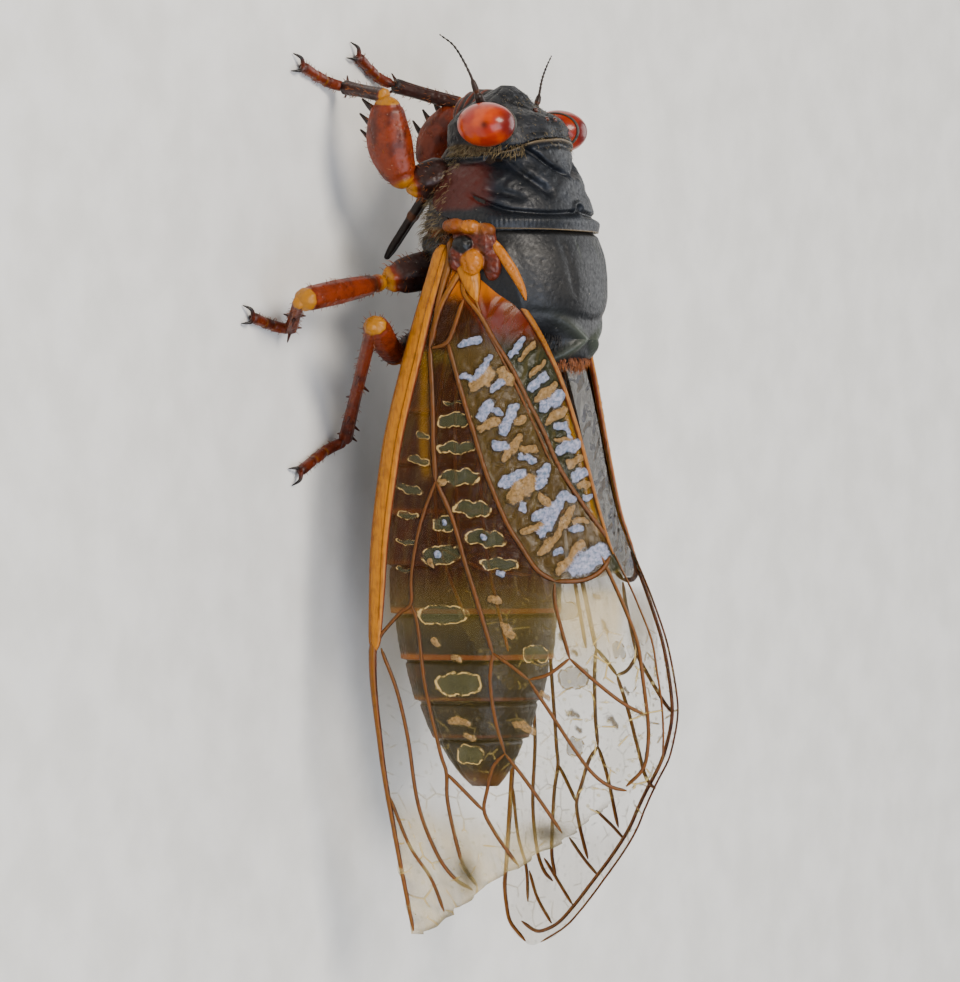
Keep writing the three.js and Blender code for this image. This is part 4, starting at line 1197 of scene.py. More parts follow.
@dataclass
class Eye:
    """One compound eye, an egg-shaped bulge with a thin pale rim where it meets the head."""

    side: Side
    out: float = 3.5
    back: float = 1.95
    height: float = 8.1
    half: Spot = (1.2, 1.0, 1.38)
    lean: float = 0.22
    rim_thick: float = 0.06
    rim_inset: float = -0.56  # where the rim lies on the eye, from -1 at the head to 1
    pupil_mm: float = 0.2

    def turned(self, local: Array) -> Array:
        """Places points of the upright eye at the real one."""
        lean = self.lean * self.side.value
        x = local[:, 0] * math.cos(lean) + local[:, 2] * math.sin(lean)
        z = -local[:, 0] * math.sin(lean) + local[:, 2] * math.cos(lean)
        return at(x + self.side.value * self.out, local[:, 1] + self.back, z + self.height)

    def build_lens(self, shop: Workshop) -> None:
        """Makes the bulge, with its dark crown and the dark spot that its facets show."""
        lens = ball(f"compound_eye_{self.side.word}", (0, 0, 0), (1, 1, 1), 96)
        local = mm_points(lens)
        move_points(lens, self.turned(local * np.array(self.half)))
        towards = unit(np.array([self.side.value * 0.84, 0.08, 0.53]))
        reach = np.linalg.norm((unit(local) - towards) * np.array(self.half), axis=1)
        crown, inner = ease(local[:, 2], 0.72, 0.98), ease(-local[:, 0] * self.side.value, -0.1, 0.4)
        paint(lens, "accent", 0.9 * crown + 0.5 * inner)
        paint(lens, "second", 0.85 * bump(reach, 0.0, self.pupil_mm))
        shop.install(close_up(lens), "compound_eye_lens", Slot.EYE, f"eye_{self.side.word}")

    def build_rim(self, shop: Workshop) -> None:
        """Makes the rim round the eye."""
        ring = math.sqrt(1 - self.rim_inset**2)

        def place(along: Array, angle: Array, share: Array) -> Array:
            """Bends the cylinder into a ring round the eye."""
            turn = 2 * math.pi * along
            grow = 1 + self.rim_thick * share * np.cos(angle)
            depth = self.rim_inset * self.half[0] + self.rim_thick * 1.6 * share * np.sin(angle)
            local = at(
                self.side.value * depth,
                self.half[1] * ring * grow * np.cos(turn),
                self.half[2] * ring * grow * np.sin(turn),
            )
            return self.turned(local)

        rim = closed_tube(f"eye_rim_{self.side.word}", 10, 72, place)
        paint(rim, "second", 0.2)
        shop.install(close_up(rim), "pitted_head_cuticle", Slot.SHELL)

    def build(self, shop: Workshop) -> None:
        """Makes the eye and its rim."""
        self.build_lens(shop)
        self.build_rim(shop)


@dataclass
class Feeler:
    """One feeler: two stout joints and a bristle of small ones."""

    side: Side
    paths: ClassVar[dict[Side, tuple[Spot, ...]]] = {
        Side.LEFT: (
            (2.1, 1.3, 7.3), (2.65, 0.5, 7.2), (2.95, -0.45, 6.95), (3.2, -1.6, 6.35), (3.4, -2.2, 5.65),
        ),
        Side.RIGHT: (
            (-2.1, 1.3, 7.4), (-2.65, 0.6, 7.5), (-2.9, -0.4, 7.6), (-3.05, -1.0, 7.75), (-3.2, -1.55, 7.95),
        ),
    }  # fmt: skip
    radii: Pairs = (
        (0, 0.24), (0.2, 0.2), (0.24, 0.12), (0.28, 0.15), (0.36, 0.12), (0.4, 0.065), (0.7, 0.05), (1, 0.03),
    )  # fmt: skip
    rings_on_bristle: int = 9

    def build(self, shop: Workshop) -> None:
        """Makes the feeler."""
        limb = Limb(self.paths[self.side], self.radii)

        def rise(along: Array, angle: Array) -> Array:
            """The small joints of the bristle, in mm."""
            return 0.012 * np.cos(along * self.rings_on_bristle * 4 * math.pi) * ease(along, 0.45, 0.5)

        feeler = limb.build(f"feeler_{self.side.word}", 16, 110, rise)
        share = limb.shares(feeler)
        paint(feeler, "accent", 0.5 * bump(share, 0.26, 0.03))
        paint(feeler, "second", 0.6 * ease(share, 0.45, 0.7))
        shop.install(close_up(feeler), "feeler_cuticle", Slot.SHELL, f"antenna_{self.side.word}")


@dataclass
class Beak:
    """The sucking beak, folded back under the body, in three joints with a groove along its front."""

    path: tuple[Spot, ...] = ((0, 2.5, 5.1), (0, 4.1, 3.75), (0, 7.8, 1.0))
    radii: Pairs = ((0, 0.5), (0.3, 0.36), (0.36, 0.3), (0.62, 0.27), (0.66, 0.24), (0.9, 0.22), (1, 0.12))

    def build(self, shop: Workshop) -> None:
        """Makes the beak."""
        limb = Limb(self.path, self.radii)

        def rise(along: Array, angle: Array) -> Array:
            """Its joints and the groove along it, in mm."""
            joints = bump(along, 0.33, 0.02) + bump(along, 0.64, 0.02)
            return 0.04 * joints - 0.07 * bump(np.sin(angle), 1, 0.12)

        beak = limb.build("sucking_beak", 28, 90, rise)
        share = limb.shares(beak)
        paint(beak, "accent", 0.9 * (bump(share, 0.33, 0.03) + bump(share, 0.64, 0.03)))
        paint(beak, "second", 0.7 * ease(share, 0.75, 1.0))
        shop.install(close_up(beak), "feeler_cuticle", Slot.SHELL, "rostrum")


@dataclass
class Pronotum:
    """The saddle-shaped plate behind the head, with its slanting grooves and the flat collar at its rear."""

    trunk: Trunk
    front_edge: Track = Track(((0, 3.35), (30, 3.1), (60, 2.62), (90, 2.45)))  # degrees up the side, mm back
    front: float = 3.2
    rear: float = 6.68
    thick: float = 0.22
    lower_edge: Track = Track(((3.2, 5.5), (5.2, 5.4), (5.8, 5.9), (6.3, 7.2), (6.68, 8.0)))
    columns: int = 240
    rows: int = 130
    grooves: tuple[Groove, ...] = (
        Groove(((42, 2.9), (52, 3.15), (70, 3.75), (86, 4.15)), 0.16, 0.24),
        Groove(((8, 3.35), (31, 3.8), (48, 4.4), (64, 4.95)), 0.27, 0.26),
        Groove(((2, 5.15), (10, 5.4), (35, 5.9), (60, 5.98), (90, 5.85)), 0.13, 0.17),
        Groove(((14, 4.9), (26, 5.05), (40, 5.25)), 0.2, 0.14),
    )
    pit_back: float = 5.66
    pit_radius: float = 0.26

    def relief(self, back: Array, angle: Array) -> Array:
        """Its lobes, grooves, collar and pit, in mm."""
        slope = slope_degrees(angle)
        lift = 1.4 * sum(groove.cut(back, slope) for groove in self.grooves)
        lift = lift + 0.13 * bump(back, 6.25, 0.28) * ease(slope, 4, 24)
        from_front = back - self.front_edge(slope)
        lift += 0.06 * bump(from_front, 0.05, 0.1) - 0.12 * bump(from_front, 0.3, 0.14)
        lift += 0.1 * bump(back, 4.35, 0.34) * bump(slope, 84, 9)
        lift += 0.09 * bump(back, 5.35, 0.2) * bump(slope, 24, 7)
        span = np.hypot(back - self.pit_back, (90 - slope) * 0.06)
        lift += 0.1 * bump(span, self.pit_radius, 0.09) - 0.14 * bump(span, 0.0, 0.16)
        stripes = np.sin(slope * 2.1 + 1.2 * ripple(back, slope / 20, 1.5, 3))
        lift += 0.018 * stripes * bump(back, 6.2, 0.35) * (1 - ease(slope, 50, 70))
        wrinkle = ripple(back * 1.3, slope / 12, 0.9, 11) * bump(back, 4.3, 0.9) * (1 - ease(slope, 66, 84))
        return lift + 0.028 * wrinkle

    def build(self, shop: Workshop) -> None:
        """Makes the plate."""

        def place(across: Array, along: Array) -> Array:
            """Puts the grid's points on the saddle."""
            even = self.front + (self.rear - self.front) * along
            low = self.trunk.angle_at(even, self.lower_edge(even))
            angle = low + (math.pi - 2 * low) * across
            front = self.front_edge(slope_degrees(angle))
            back = front + (self.rear - front) * along
            return self.trunk.skin(back, angle, self.relief(back, angle) - 0.01)

        plate = sheet("pronotum_plate", self.columns, self.rows, place)
        close_up(plate)
        points = mm_points(plate)
        back, height = points[:, 1], points[:, 2]
        middle, _ = self.trunk.upright(back)
        slope = np.degrees(np.arctan2((height - middle) * 1.3, np.abs(points[:, 0])))
        inward = ease(slope, 38, -4) * ease(back, self.front, 4.2) * (1 - ease(back, 5.4, 6.2))
        paint(plate, "accent", inward * 0.95)
        rear_line = bump(back, self.rear, 0.03) * 0.4
        front_line = bump(back, self.front_edge(slope), 0.1) * ease(height, 8.0, 8.8) * 0.3
        paint(plate, "second", np.maximum(rear_line, front_line))
        apply_modifier(plate, "SOLIDIFY", thickness=self.thick * MM, offset=-1.0, use_rim=True)
        shop.install(close_up(plate, 60), "waxed_black_cuticle", Slot.SHELL, "pronotum")


@dataclass
class Mesonotum:
    """The domed shield between the wings, which ends in a raised cross."""

    trunk: Trunk
    front: float = 6.5
    rear: float = 12.78
    thick: float = 0.25
    lower_edge: Track = Track(((6.5, 7.4), (8.0, 7.7), (9.4, 8.3), (10.8, 9.0), (12.0, 9.3), (12.78, 9.6)))
    columns: int = 240
    rows: int = 170

    def relief(self, back: Array, angle: Array) -> Array:
        """The cross, its hollows and the faint lines of the dome, in mm."""
        slope = slope_degrees(angle)
        side = np.abs(np.cos(angle))
        arm = 0.12 + 0.5 * np.abs(back - 11.6) / 1.3
        cross = bump(side, arm, 0.12) * bump(back, 11.75, 0.85)
        hollow = bump(back, 11.85, 0.7) * bump(side, 0.62, 0.2)
        lift = 0.32 * cross - 0.5 * hollow
        lift -= 0.06 * bump(back, 10.75 - 0.5 * side, 0.2) * ease(slope, 30, 50)
        inner_line = bump(slope, 68 + 2.2 * (back - 8), 3.2) * ease(back, 6.9, 7.4)
        lift -= 0.05 * inner_line * (1 - ease(back, 9.2, 9.9))
        lift -= 0.12 * bump(back, 6.72, 0.1)
        outer_line = bump(slope, 26 + 3 * (back - 8), 4.5) * ease(back, 7.0, 7.6)
        lift += 0.12 * outer_line * (1 - ease(back, 10.2, 11))
        return lift + 0.012 * ripple(back, slope / 18, 1.6, 21)

    def build(self, shop: Workshop) -> None:
        """Makes the shield."""

        def place(across: Array, along: Array) -> Array:
            """Puts the grid's points on the shield."""
            back = self.front + (self.rear - self.front) * along
            low = self.trunk.angle_at(back, self.lower_edge(back))
            angle = low + (math.pi - 2 * low) * across
            drop = 0.22 * (1 - ease(back, self.front, 6.95))
            return self.trunk.skin(back, angle, self.relief(back, angle) - 0.01 - drop)

        shield = sheet("mesonotum_shield", self.columns, self.rows, place)
        close_up(shield)
        points = mm_points(shield)
        out, back, height = points.T
        top = self.trunk.top(back)
        arm = 0.12 + 0.5 * np.abs(back - 11.6) / 1.3
        cross = bump(np.abs(out) / self.trunk.wide(back), arm, 0.14) * bump(back, 11.75, 0.9)
        paint(shield, "accent", 0.12 * bump(back, 9.2, 1.4) * bump(np.abs(out), 2.0, 1.2))
        pale_dashes = 0.3 * bump(np.abs(out), 0.9, 0.08) * bump(back, 7.5, 0.5) * (top - height < 0.6)
        paint(shield, "second", np.maximum(0.7 * cross, pale_dashes))
        apply_modifier(shield, "SOLIDIFY", thickness=self.thick * MM, offset=-1.0, use_rim=True)
        shop.install(close_up(shield, 60), "satin_black_cuticle", Slot.SHELL, "scutum", "scutellum")


@dataclass
class Flanks:
    """The sides and belly of the thorax, in furrowed plates."""

    trunk: Trunk
    front: float = 3.2
    rear: float = 12.95
    sunk: float = 0.16
    under_shield: float = 0.28
    around: int = 150
    rings: int = 170
    plate_edges: tuple[Spot, ...] = (
        (3.4, -26, 0.5), (5.0, -20, 0.6), (6.95, -30, 0.3), (8.8, -25, 0.5), (10.6, -28, 0.4),
    )  # fmt: skip

    def relief(self, back: Array, angle: Array) -> Array:
        """The furrows between the plates, in mm."""
        slope = slope_degrees(angle)
        low = 1 - ease(slope, -8, 8)
        lift = np.zeros_like(back)
        for edge, tilt, slant in self.plate_edges:
            line = edge + slant * np.sin(np.radians(slope - tilt) * 2.0)
            lift -= 0.2 * bump(back, line, 0.16) * low
            lift += 0.1 * bump(back, line + 0.55, 0.35) * low
        lift -= 0.14 * bump(slope, -52 + 6 * np.sin(back), 5) + 0.12 * bump(slope, -90, 6)
        lift = lift + 0.05 * ripple(back * 1.2, slope / 14, 1.3, 31) * low
        return lift - self.sunk - self.under_shield * (np.sin(angle) > 0.25)

    def build(self, shop: Workshop) -> None:
        """Makes the sides and belly."""
        ends = (self.front, self.rear)
        flanks = self.trunk.tube("thorax_flanks", self.around, self.rings, ends, self.relief)
        points = mm_points(flanks)
        out, back, height = points.T
        stain = bump(back, 4.4, 0.8) * bump(height, 6.6, 0.8)
        stain += 0.8 * bump(back, 6.9, 0.6) * bump(height, 7.4, 0.7)
        stain += 0.45 * bump(back, 9.0, 1.0) * bump(height, 5.0, 0.8)
        paint(flanks, "accent", stain)
        paint(flanks, "second", 0.4 * bump(back, 6.75, 0.14) * ease(height, 7.6, 6.0))
        shop.install(close_up(flanks), "furrowed_flank_cuticle", Slot.SHELL, "thorax")


@dataclass
class Abdomen:
    """The tapering abdomen of overlapping rings, with a blunt tip."""

    trunk: Trunk
    front: float = 12.6
    rear: float = 31.9
    edges: tuple[float, ...] = (14.9, 17.2, 19.5, 21.8, 24.0, 26.1, 28.0, 29.7)
    hem_strength: ClassVar[dict[float, float]] = {19.5: 0.85, 24.0: 1.0, 26.1: 0.95}
    step: float = 0.17
    step_run: float = 2.1
    around: int = 128
    rings: int = 330

    def relief(self, back: Array, angle: Array) -> Array:
        """The steps between the rings, the side grooves and the drums behind the wing roots, in mm."""
        slope = slope_degrees(angle)
        lift = np.full_like(back, -0.04)
        for edge in self.edges:
            before = edge - back
            inside = (before >= 0) & (before < self.step_run)
            lift += np.where(inside, self.step * (1 - before / self.step_run), 0.0)
            lift -= 0.1 * bump(before, -0.1, 0.07)
        lift -= 0.13 * bump(slope, -24, 4) * ease(back, 14.0, 15.0)
        lift += 0.09 * bump(slope, -24, 13)
        ribs = np.sin(slope * 0.55) * bump(slope, 26, 10) * bump(back, 13.9, 0.5)
        lift += 0.06 * ribs
        lift -= 0.2 * (1 - ease(back, 13.0, 13.6)) * ease(slope, 0, 30)
        lift = lift + 0.018 * ripple(back * 1.4, slope / 12, 1.0, 41)
        return np.minimum(lift, self.step) * ease(back, 31.8, 31.2)

    def build(self, shop: Workshop) -> None:
        """Makes the abdomen."""
        ends = (self.front, self.rear)
        abdomen = self.trunk.tube("ringed_abdomen", self.around, self.rings, ends, self.relief)
        points = mm_points(abdomen)
        back, height = points[:, 1], points[:, 2]
        middle, _ = self.trunk.upright(back)
        belly = ease(height - middle, 0.0, -1.6)
        hems = [
            self.hem_strength.get(edge, 0.4) * bump(back, edge - 0.12, 0.14) * (back <= edge + 0.03)
            for edge in self.edges
        ]
        hem = np.max(hems, axis=0)
        paint(abdomen, "accent", np.maximum(0.98 * hem, 0.3 * belly))
        paint(abdomen, "second", 0.8 * hem * belly + 0.25 * bump(back, 31.6, 0.4))
        close_up(abdomen)
        shop.install(abdomen, "banded_abdomen_cuticle", Slot.ABDOMEN, "abdomen", "abdomen_tip")


@dataclass(frozen=True)
class WingShape:
    """The curved surface that a folded wing lies on, from mm back and mm across from its front edge."""

    edge_out: Track = Track((
        (6.4, 4.2), (7, 4.55), (9, 5.1), (13, 5.95), (17, 6.5), (22, 6.8), (26, 6.8), (30, 6.4), (34, 5.5),
        (38.4, 4.3),
    ))  # fmt: skip
    edge_height: Track = Track((
        (6.4, 6.6), (7, 6.4), (9, 5.95), (13, 5.1), (17, 4.4), (22, 4.0), (26, 3.95), (30, 4.15), (34, 4.4),
        (38.4, 4.7),
    ))  # fmt: skip
    lean: Track = Track((
        (7, 0.5), (7.9, 0.47), (9.8, 0.42), (12.5, 0.64), (14.3, 0.64), (16.1, 0.63), (19.3, 0.6),
        (20.9, 0.57), (25.7, 0.49), (28, 0.465), (30.2, 0.45), (39, 0.36),
    ))  # fmt: skip
    bulge: Track = Track(((7, 0.25), (9, 0.5), (12, 1.0), (16, 1.3), (26, 1.0), (33, 0.6), (39, 0.1)))
    width: Track = Track((
        (6.9, 1.5), (7.9, 2.2), (9.8, 4.3), (12.5, 6.75), (16.1, 8.9), (20.9, 10.8), (23.4, 12.0),
        (25.7, 12.7), (28, 12.9), (30.2, 12.2), (31.8, 10.9), (33.5, 9.6), (36.1, 6.9), (38, 4.9),
        (38.9, 3.6), (39.35, 2.3),
    ))  # fmt: skip
    widest: float = 33  # the swelling keeps to the width it has here

    def spot(self, back: Array, across: Array) -> Array:
        """Points on the left wing's middle surface, in mm."""
        lean = self.lean(back)
        share = np.clip(across / self.width(np.minimum(back, self.widest)), 0, 1)
        swell = self.bulge(back) * np.sin(np.pi * share) ** 0.8
        out = self.edge_out(back) - np.sin(lean) * across + np.cos(lean) * swell
        return at(out, back, self.edge_height(back) + np.cos(lean) * across + np.sin(lean) * swell)

    def axes(self, back: Array, across: Array) -> tuple[Array, Array]:
        """The direction across the wing and the one straight out of it."""
        small = 0.05
        along = self.spot(back + small, across) - self.spot(back - small, across)
        over = self.spot(back, across + small) - self.spot(back, np.maximum(across - small, 0))
        normal = unit(np.cross(along, over))
        normal *= np.sign(normal[:, :1] + 1e-9)
        return unit(over), normal

    def point(self, back: Array, across: Array, lift: Array | float, side: Side) -> Array:
        """Points on or off a wing, in mm.

        Args:
            back: mm behind the head's front.
            across: mm from the wing's front edge.
            lift: mm out of the middle surface.
            side: which wing.

        Returns:
            The points.
        """
        _, normal = self.axes(back, across)
        spots = self.spot(back, across) + normal * np.broadcast_to(lift, back.shape)[:, None]
        return spots * np.array([side.value, 1, 1])


@dataclass(frozen=True)
class Outline:
    """How far a wing reaches at each place along it."""

    near: Track
    far: Track
    end: float


WHOLE = Outline(
    Track(((6.9, 0.0), (36.6, 0.0), (38, 0.35), (38.9, 1.0), (39.35, 1.9))),
    WingShape().width,
    39.35,
)
WORN = Outline(
    Track(((6.9, 0.0), (38.45, 0.0))),
    Track((
        (6.9, 1.5), (7.9, 2.2), (9.8, 4.3), (12.5, 6.75), (16.1, 8.9), (20.9, 10.8), (23.4, 12.0),
        (25.7, 12.8), (28, 13.0), (30.2, 12.8), (31.3, 12.2), (32, 11.0), (33.7, 8.6), (35.3, 5.8),
        (36.4, 3.9), (37.6, 2.1), (38.45, 0.7),
    )),
    38.45,
)  # fmt: skip
UNDER = Outline(
    Track(((8.2, 0.9), (10, 1.0), (13, 1.3), (17, 1.8), (21, 2.6), (24, 3.8), (26, 5.0), (27.4, 6.1))),
    Track(((8.2, 1.9), (10, 3.6), (13, 5.2), (17, 7.0), (21, 8.4), (24, 8.8), (26, 8.3), (27.4, 6.9))),
    27.4,
)

FINE_VEIN = 0.088

# Half the width of each vein, and back and across along it, all in mm.
FORE_VEINS: dict[str, tuple[float, Pairs]] = {
    "stem": (0.16, ((8.2, 1.5), (10.2, 1.0), (12, 0.95))),
    "arch": (0.12, ((9.9, 1.95), (10.9, 1.85), (11.8, 1.65), (12.05, 1.05))),
    "median": (0.12, ((12, 0.95), (14.8, 1.75), (18, 2.45))),
    "median_front": (
        FINE_VEIN,
        ((18, 2.45), (19.8, 2.05), (22.1, 1.8), (23.5, 1.8), (23.9, 1.35), (24.9, 0.5), (25.5, 0.3)),
    ),
    "median_inner": (FINE_VEIN, (
        (23.5, 1.8), (24.6, 2.15), (27.7, 2.5), (30.2, 2.8), (31.1, 2.95), (32.3, 2.8), (34, 2.85),
        (35.3, 3.0), (36.2, 3.4),
    )),
    "median_cross": (FINE_VEIN, ((31.1, 2.95), (31.75, 3.5), (32.8, 4.35))),
    "median_rear": (0.11, ((18, 2.45), (19.8, 3.45), (22.1, 4.3), (24, 4.95), (25.7, 5.5))),
    "cell_front": (FINE_VEIN, ((25.7, 5.5), (27, 5.37), (28.8, 5.45), (30.2, 5.7))),
    "cell_rear": (FINE_VEIN, ((25.7, 5.5), (26.3, 6.35), (26.9, 7.1))),
    "oval_front": (
        FINE_VEIN,
        ((30.2, 5.7), (30.8, 5.1), (31.9, 4.65), (32.8, 4.37), (33.7, 4.65), (34.6, 5.1), (35.3, 5.5)),
    ),
    "oval_rear": (FINE_VEIN, ((30.2, 5.7), (31.3, 6.4), (32.5, 7.05), (33.8, 7.7))),
    "cell_link": (FINE_VEIN, ((26.9, 7.1), (26.65, 8.0), (25.95, 8.95))),
    "branch_middle": (
        FINE_VEIN, ((26.9, 7.1), (28.3, 7.9), (29.8, 8.7), (31.1, 9.5), (31.7, 10.2), (31.9, 10.9))
    ),
    "cubitus_link": (FINE_VEIN, ((25.95, 8.95), (24.6, 8.55), (23.5, 8.25), (22.6, 8.2))),
    "branch_rear": (FINE_VEIN, ((25.95, 8.95), (27.1, 10.2), (28, 11.3), (28.5, 12.2))),
    "cubitus": (0.12, (
        (11.8, 1.68), (13.1, 2.33), (14.6, 3.1), (16, 3.85), (17.7, 4.65), (19.8, 5.8), (21, 6.65),
        (22, 7.4), (22.5, 8.23),
    )),
    "clavus_end": (0.12, ((22.5, 8.23), (22.45, 9.5), (22, 10.35), (21.3, 10.75))),
    "fold": (0.12, (
        (8.6, 1.6), (9.55, 1.85), (10.5, 2.8), (11.7, 3.75), (13.1, 4.95), (14.5, 6.0), (15.9, 7.05),
        (17.7, 8.2), (20.6, 10.6),
    )),
    "fold_twin": (0.07, ((8.4, 1.35), (9.9, 2.5), (11.3, 3.35), (13.6, 5.1), (15.6, 6.55), (17.1, 7.5))),
    "tip_1": (
        FINE_VEIN,
        ((25.5, 0.5), (27.4, 1.15), (29.8, 1.42), (32.7, 1.45), (34.8, 1.9), (35.9, 2.5), (36.4, 3.2)),
    ),
    "tip_2": (0.08, ((32.2, 0.2), (34.4, 0.7), (35.9, 1.4), (37.4, 1.7))),
}  # fmt: skip

HIND_VEINS: dict[str, Pairs] = {
    "front": ((9, 1.3), (13, 1.6), (17, 2.1), (21, 2.9), (24, 4.1)),
    "median": ((9.4, 1.8), (14, 3.4), (18, 4.5), (22, 5.3), (25.6, 6.2)),
    "rear": ((9.6, 2.2), (14, 4.7), (18, 6.2), (22, 7.4)),
    "link": ((21, 2.9), (21.6, 4.2), (22, 5.3), (22.1, 7.3)),
    "fold": ((9.8, 1.5), (14, 2.5), (18, 3.3), (21.4, 3.9)),
}

SPOKES: tuple[Pairs, ...] = (
    ((33.1, 5.85), (33.8, 7.3), (34.3, 8.2)),
    ((34.4, 4.05), (35.3, 5.2), (36.0, 6.3)),
    ((35.4, 2.5), (36.6, 3.8), (37.4, 4.7)),
    ((36, 1.6), (37.2, 2.3), (38.3, 3.4)),
)

# The glinting pleats, where the reflections are painted, as strokes: back and across of both ends and half the
# width in mm, then 1 if the reflection is warm.
GLINT_STROKES: tuple[tuple[float, ...], ...] = (
    (12.37, 4.66, 11.57, 5.06, 0.12, 0), (12.55, 5.13, 11.88, 5.56, 0.12, 1), (13.25, 5.78, 12.7, 6.29, 0.11, 1),
    (13.76, 5.98, 13.33, 6.47, 0.2, 0), (14.33, 6.4, 13.72, 7.03, 0.19, 1), (14.66, 6.73, 14.15, 7.56, 0.24, 0),
    (15.32, 7.13, 14.78, 7.78, 0.18, 1), (15.61, 7.5, 15.43, 7.82, 0.12, 0), (15.53, 7.9, 16.03, 8.3, 0.08, 0),
    (16.12, 7.61, 16.16, 8.3, 0.08, 1), (16.61, 7.86, 16.34, 8.8, 0.23, 0), (17.23, 8.4, 17.01, 8.92, 0.17, 1),
    (17.77, 8.8, 17.62, 9.2, 0.22, 0), (18.27, 9.03, 18.16, 9.35, 0.15, 1), (18.76, 9.39, 18.7, 9.59, 0.12, 0),
    (15.75, 5.12, 14.7, 5.37, 0.2, 0), (15.39, 5.65, 15.17, 5.93, 0.14, 1), (17.05, 5.35, 16.03, 5.9, 0.17, 1),
    (16.54, 6.08, 16.61, 6.78, 0.13, 1), (16.87, 6.03, 17.1, 6.77, 0.13, 0), (18.18, 7.14, 17.44, 7.33, 0.23, 0),
    (18.1, 5.52, 17.71, 6.17, 0.22, 0), (18.65, 6.09, 18.02, 6.61, 0.37, 1), (19.16, 6.46, 19.24, 6.57, 0.17, 0),
    (19.63, 7.1, 19.37, 7.61, 0.18, 0), (20.33, 7.49, 18.69, 8.29, 0.23, 0), (18.57, 8.4, 18.82, 8.8, 0.13, 0),
    (20.29, 6.65, 20.02, 7.38, 0.13, 1), (21.23, 7.5, 20.45, 8.22, 0.16, 1), (20.45, 8.22, 19.2, 8.8, 0.15, 1),
    (20.14, 8.87, 20.18, 9.28, 0.14, 0), (19.82, 8.94, 19.78, 9.47, 0.1, 1), (22.09, 8.35, 20.8, 9.34, 0.16, 1),
    (21.9, 9.22, 21.23, 10.25, 0.39, 0), (21.22, 8.17, 21.17, 8.39, 0.13, 0), (18.69, 7.23, 19.04, 7.68, 0.16, 1),
    (11.88, 2.26, 11.62, 3.07, 0.13, 0), (13.34, 2.73, 13.39, 3.28, 0.13, 0), (13.37, 3.32, 12.43, 3.73, 0.14, 0),
    (13.72, 3.4, 13.21, 3.83, 0.29, 1), (13.09, 4.37, 13.56, 4.89, 0.2, 1), (13.88, 4.19, 13.55, 4.57, 0.16, 0),
    (15.05, 3.95, 14.58, 4.18, 0.23, 0), (14.83, 4.34, 14.97, 4.85, 0.1, 0), (15.58, 4.07, 15.32, 4.67, 0.19, 1),
    (16.34, 4.8, 16.5, 5.35, 0.17, 0), (20.57, 4.8, 20.49, 4.97, 0.1, 0), (22.19, 5.69, 22.13, 5.85, 0.12, 0),
    (21.25, 2.84, 21.31, 2.96, 0.12, 0), (19.86, 3.01, 19.92, 3.1, 0.1, 0), (25.18, 2.88, 25.32, 3.11, 0.14, 1),
    (25.91, 3.8, 26.0, 4.03, 0.11, 1), (28.73, 3.47, 28.82, 4.19, 0.14, 1), (29.41, 4.08, 29.5, 4.38, 0.11, 1),
    (23.23, 5.33, 23.45, 5.79, 0.14, 1), (24.41, 5.91, 24.95, 6.38, 0.16, 1), (28.86, 6.38, 29.18, 7.07, 0.16, 1),
    (17.95, 2.6, 18.14, 2.8, 0.09, 1), (27.5, 7.61, 27.68, 7.87, 0.09, 1), (21.59, 2.55, 21.86, 2.74, 0.09, 1),
)

# The glassy swellings, each with a painted highlight round its rim: back and across of the middle, half the
# length and width in mm, tilt in degrees.
RINGS: tuple[tuple[float, ...], ...] = (
    (14.5, 2.58, 0.47, 0.08, 3), (15.28, 2.78, 0.72, 0.33, -4), (16.5, 3.14, 0.81, 0.25, 0),
    (17.83, 3.48, 0.88, 0.33, 0), (19.24, 4.26, 0.85, 0.33, 6), (20.57, 5.0, 0.91, 0.34, 8),
    (21.72, 5.68, 0.83, 0.27, 4), (21.31, 3.07, 0.85, 0.41, -6), (19.92, 3.06, 0.47, 0.33, 0),
    (15.95, 1.53, 0.35, 0.11, 25), (17.09, 1.59, 0.52, 0.17, 18), (18.38, 1.37, 0.61, 0.17, 15),
    (19.55, 1.41, 0.49, 0.16, 8), (20.73, 1.49, 0.44, 0.11, 5), (21.98, 1.48, 0.36, 0.09, 6),
    (24.0, 3.22, 1.09, 0.41, 0), (27.09, 3.95, 1.0, 0.5, -4), (30.27, 4.11, 0.59, 0.41, 0),
    (25.73, 7.44, 0.59, 0.36, 0),
)


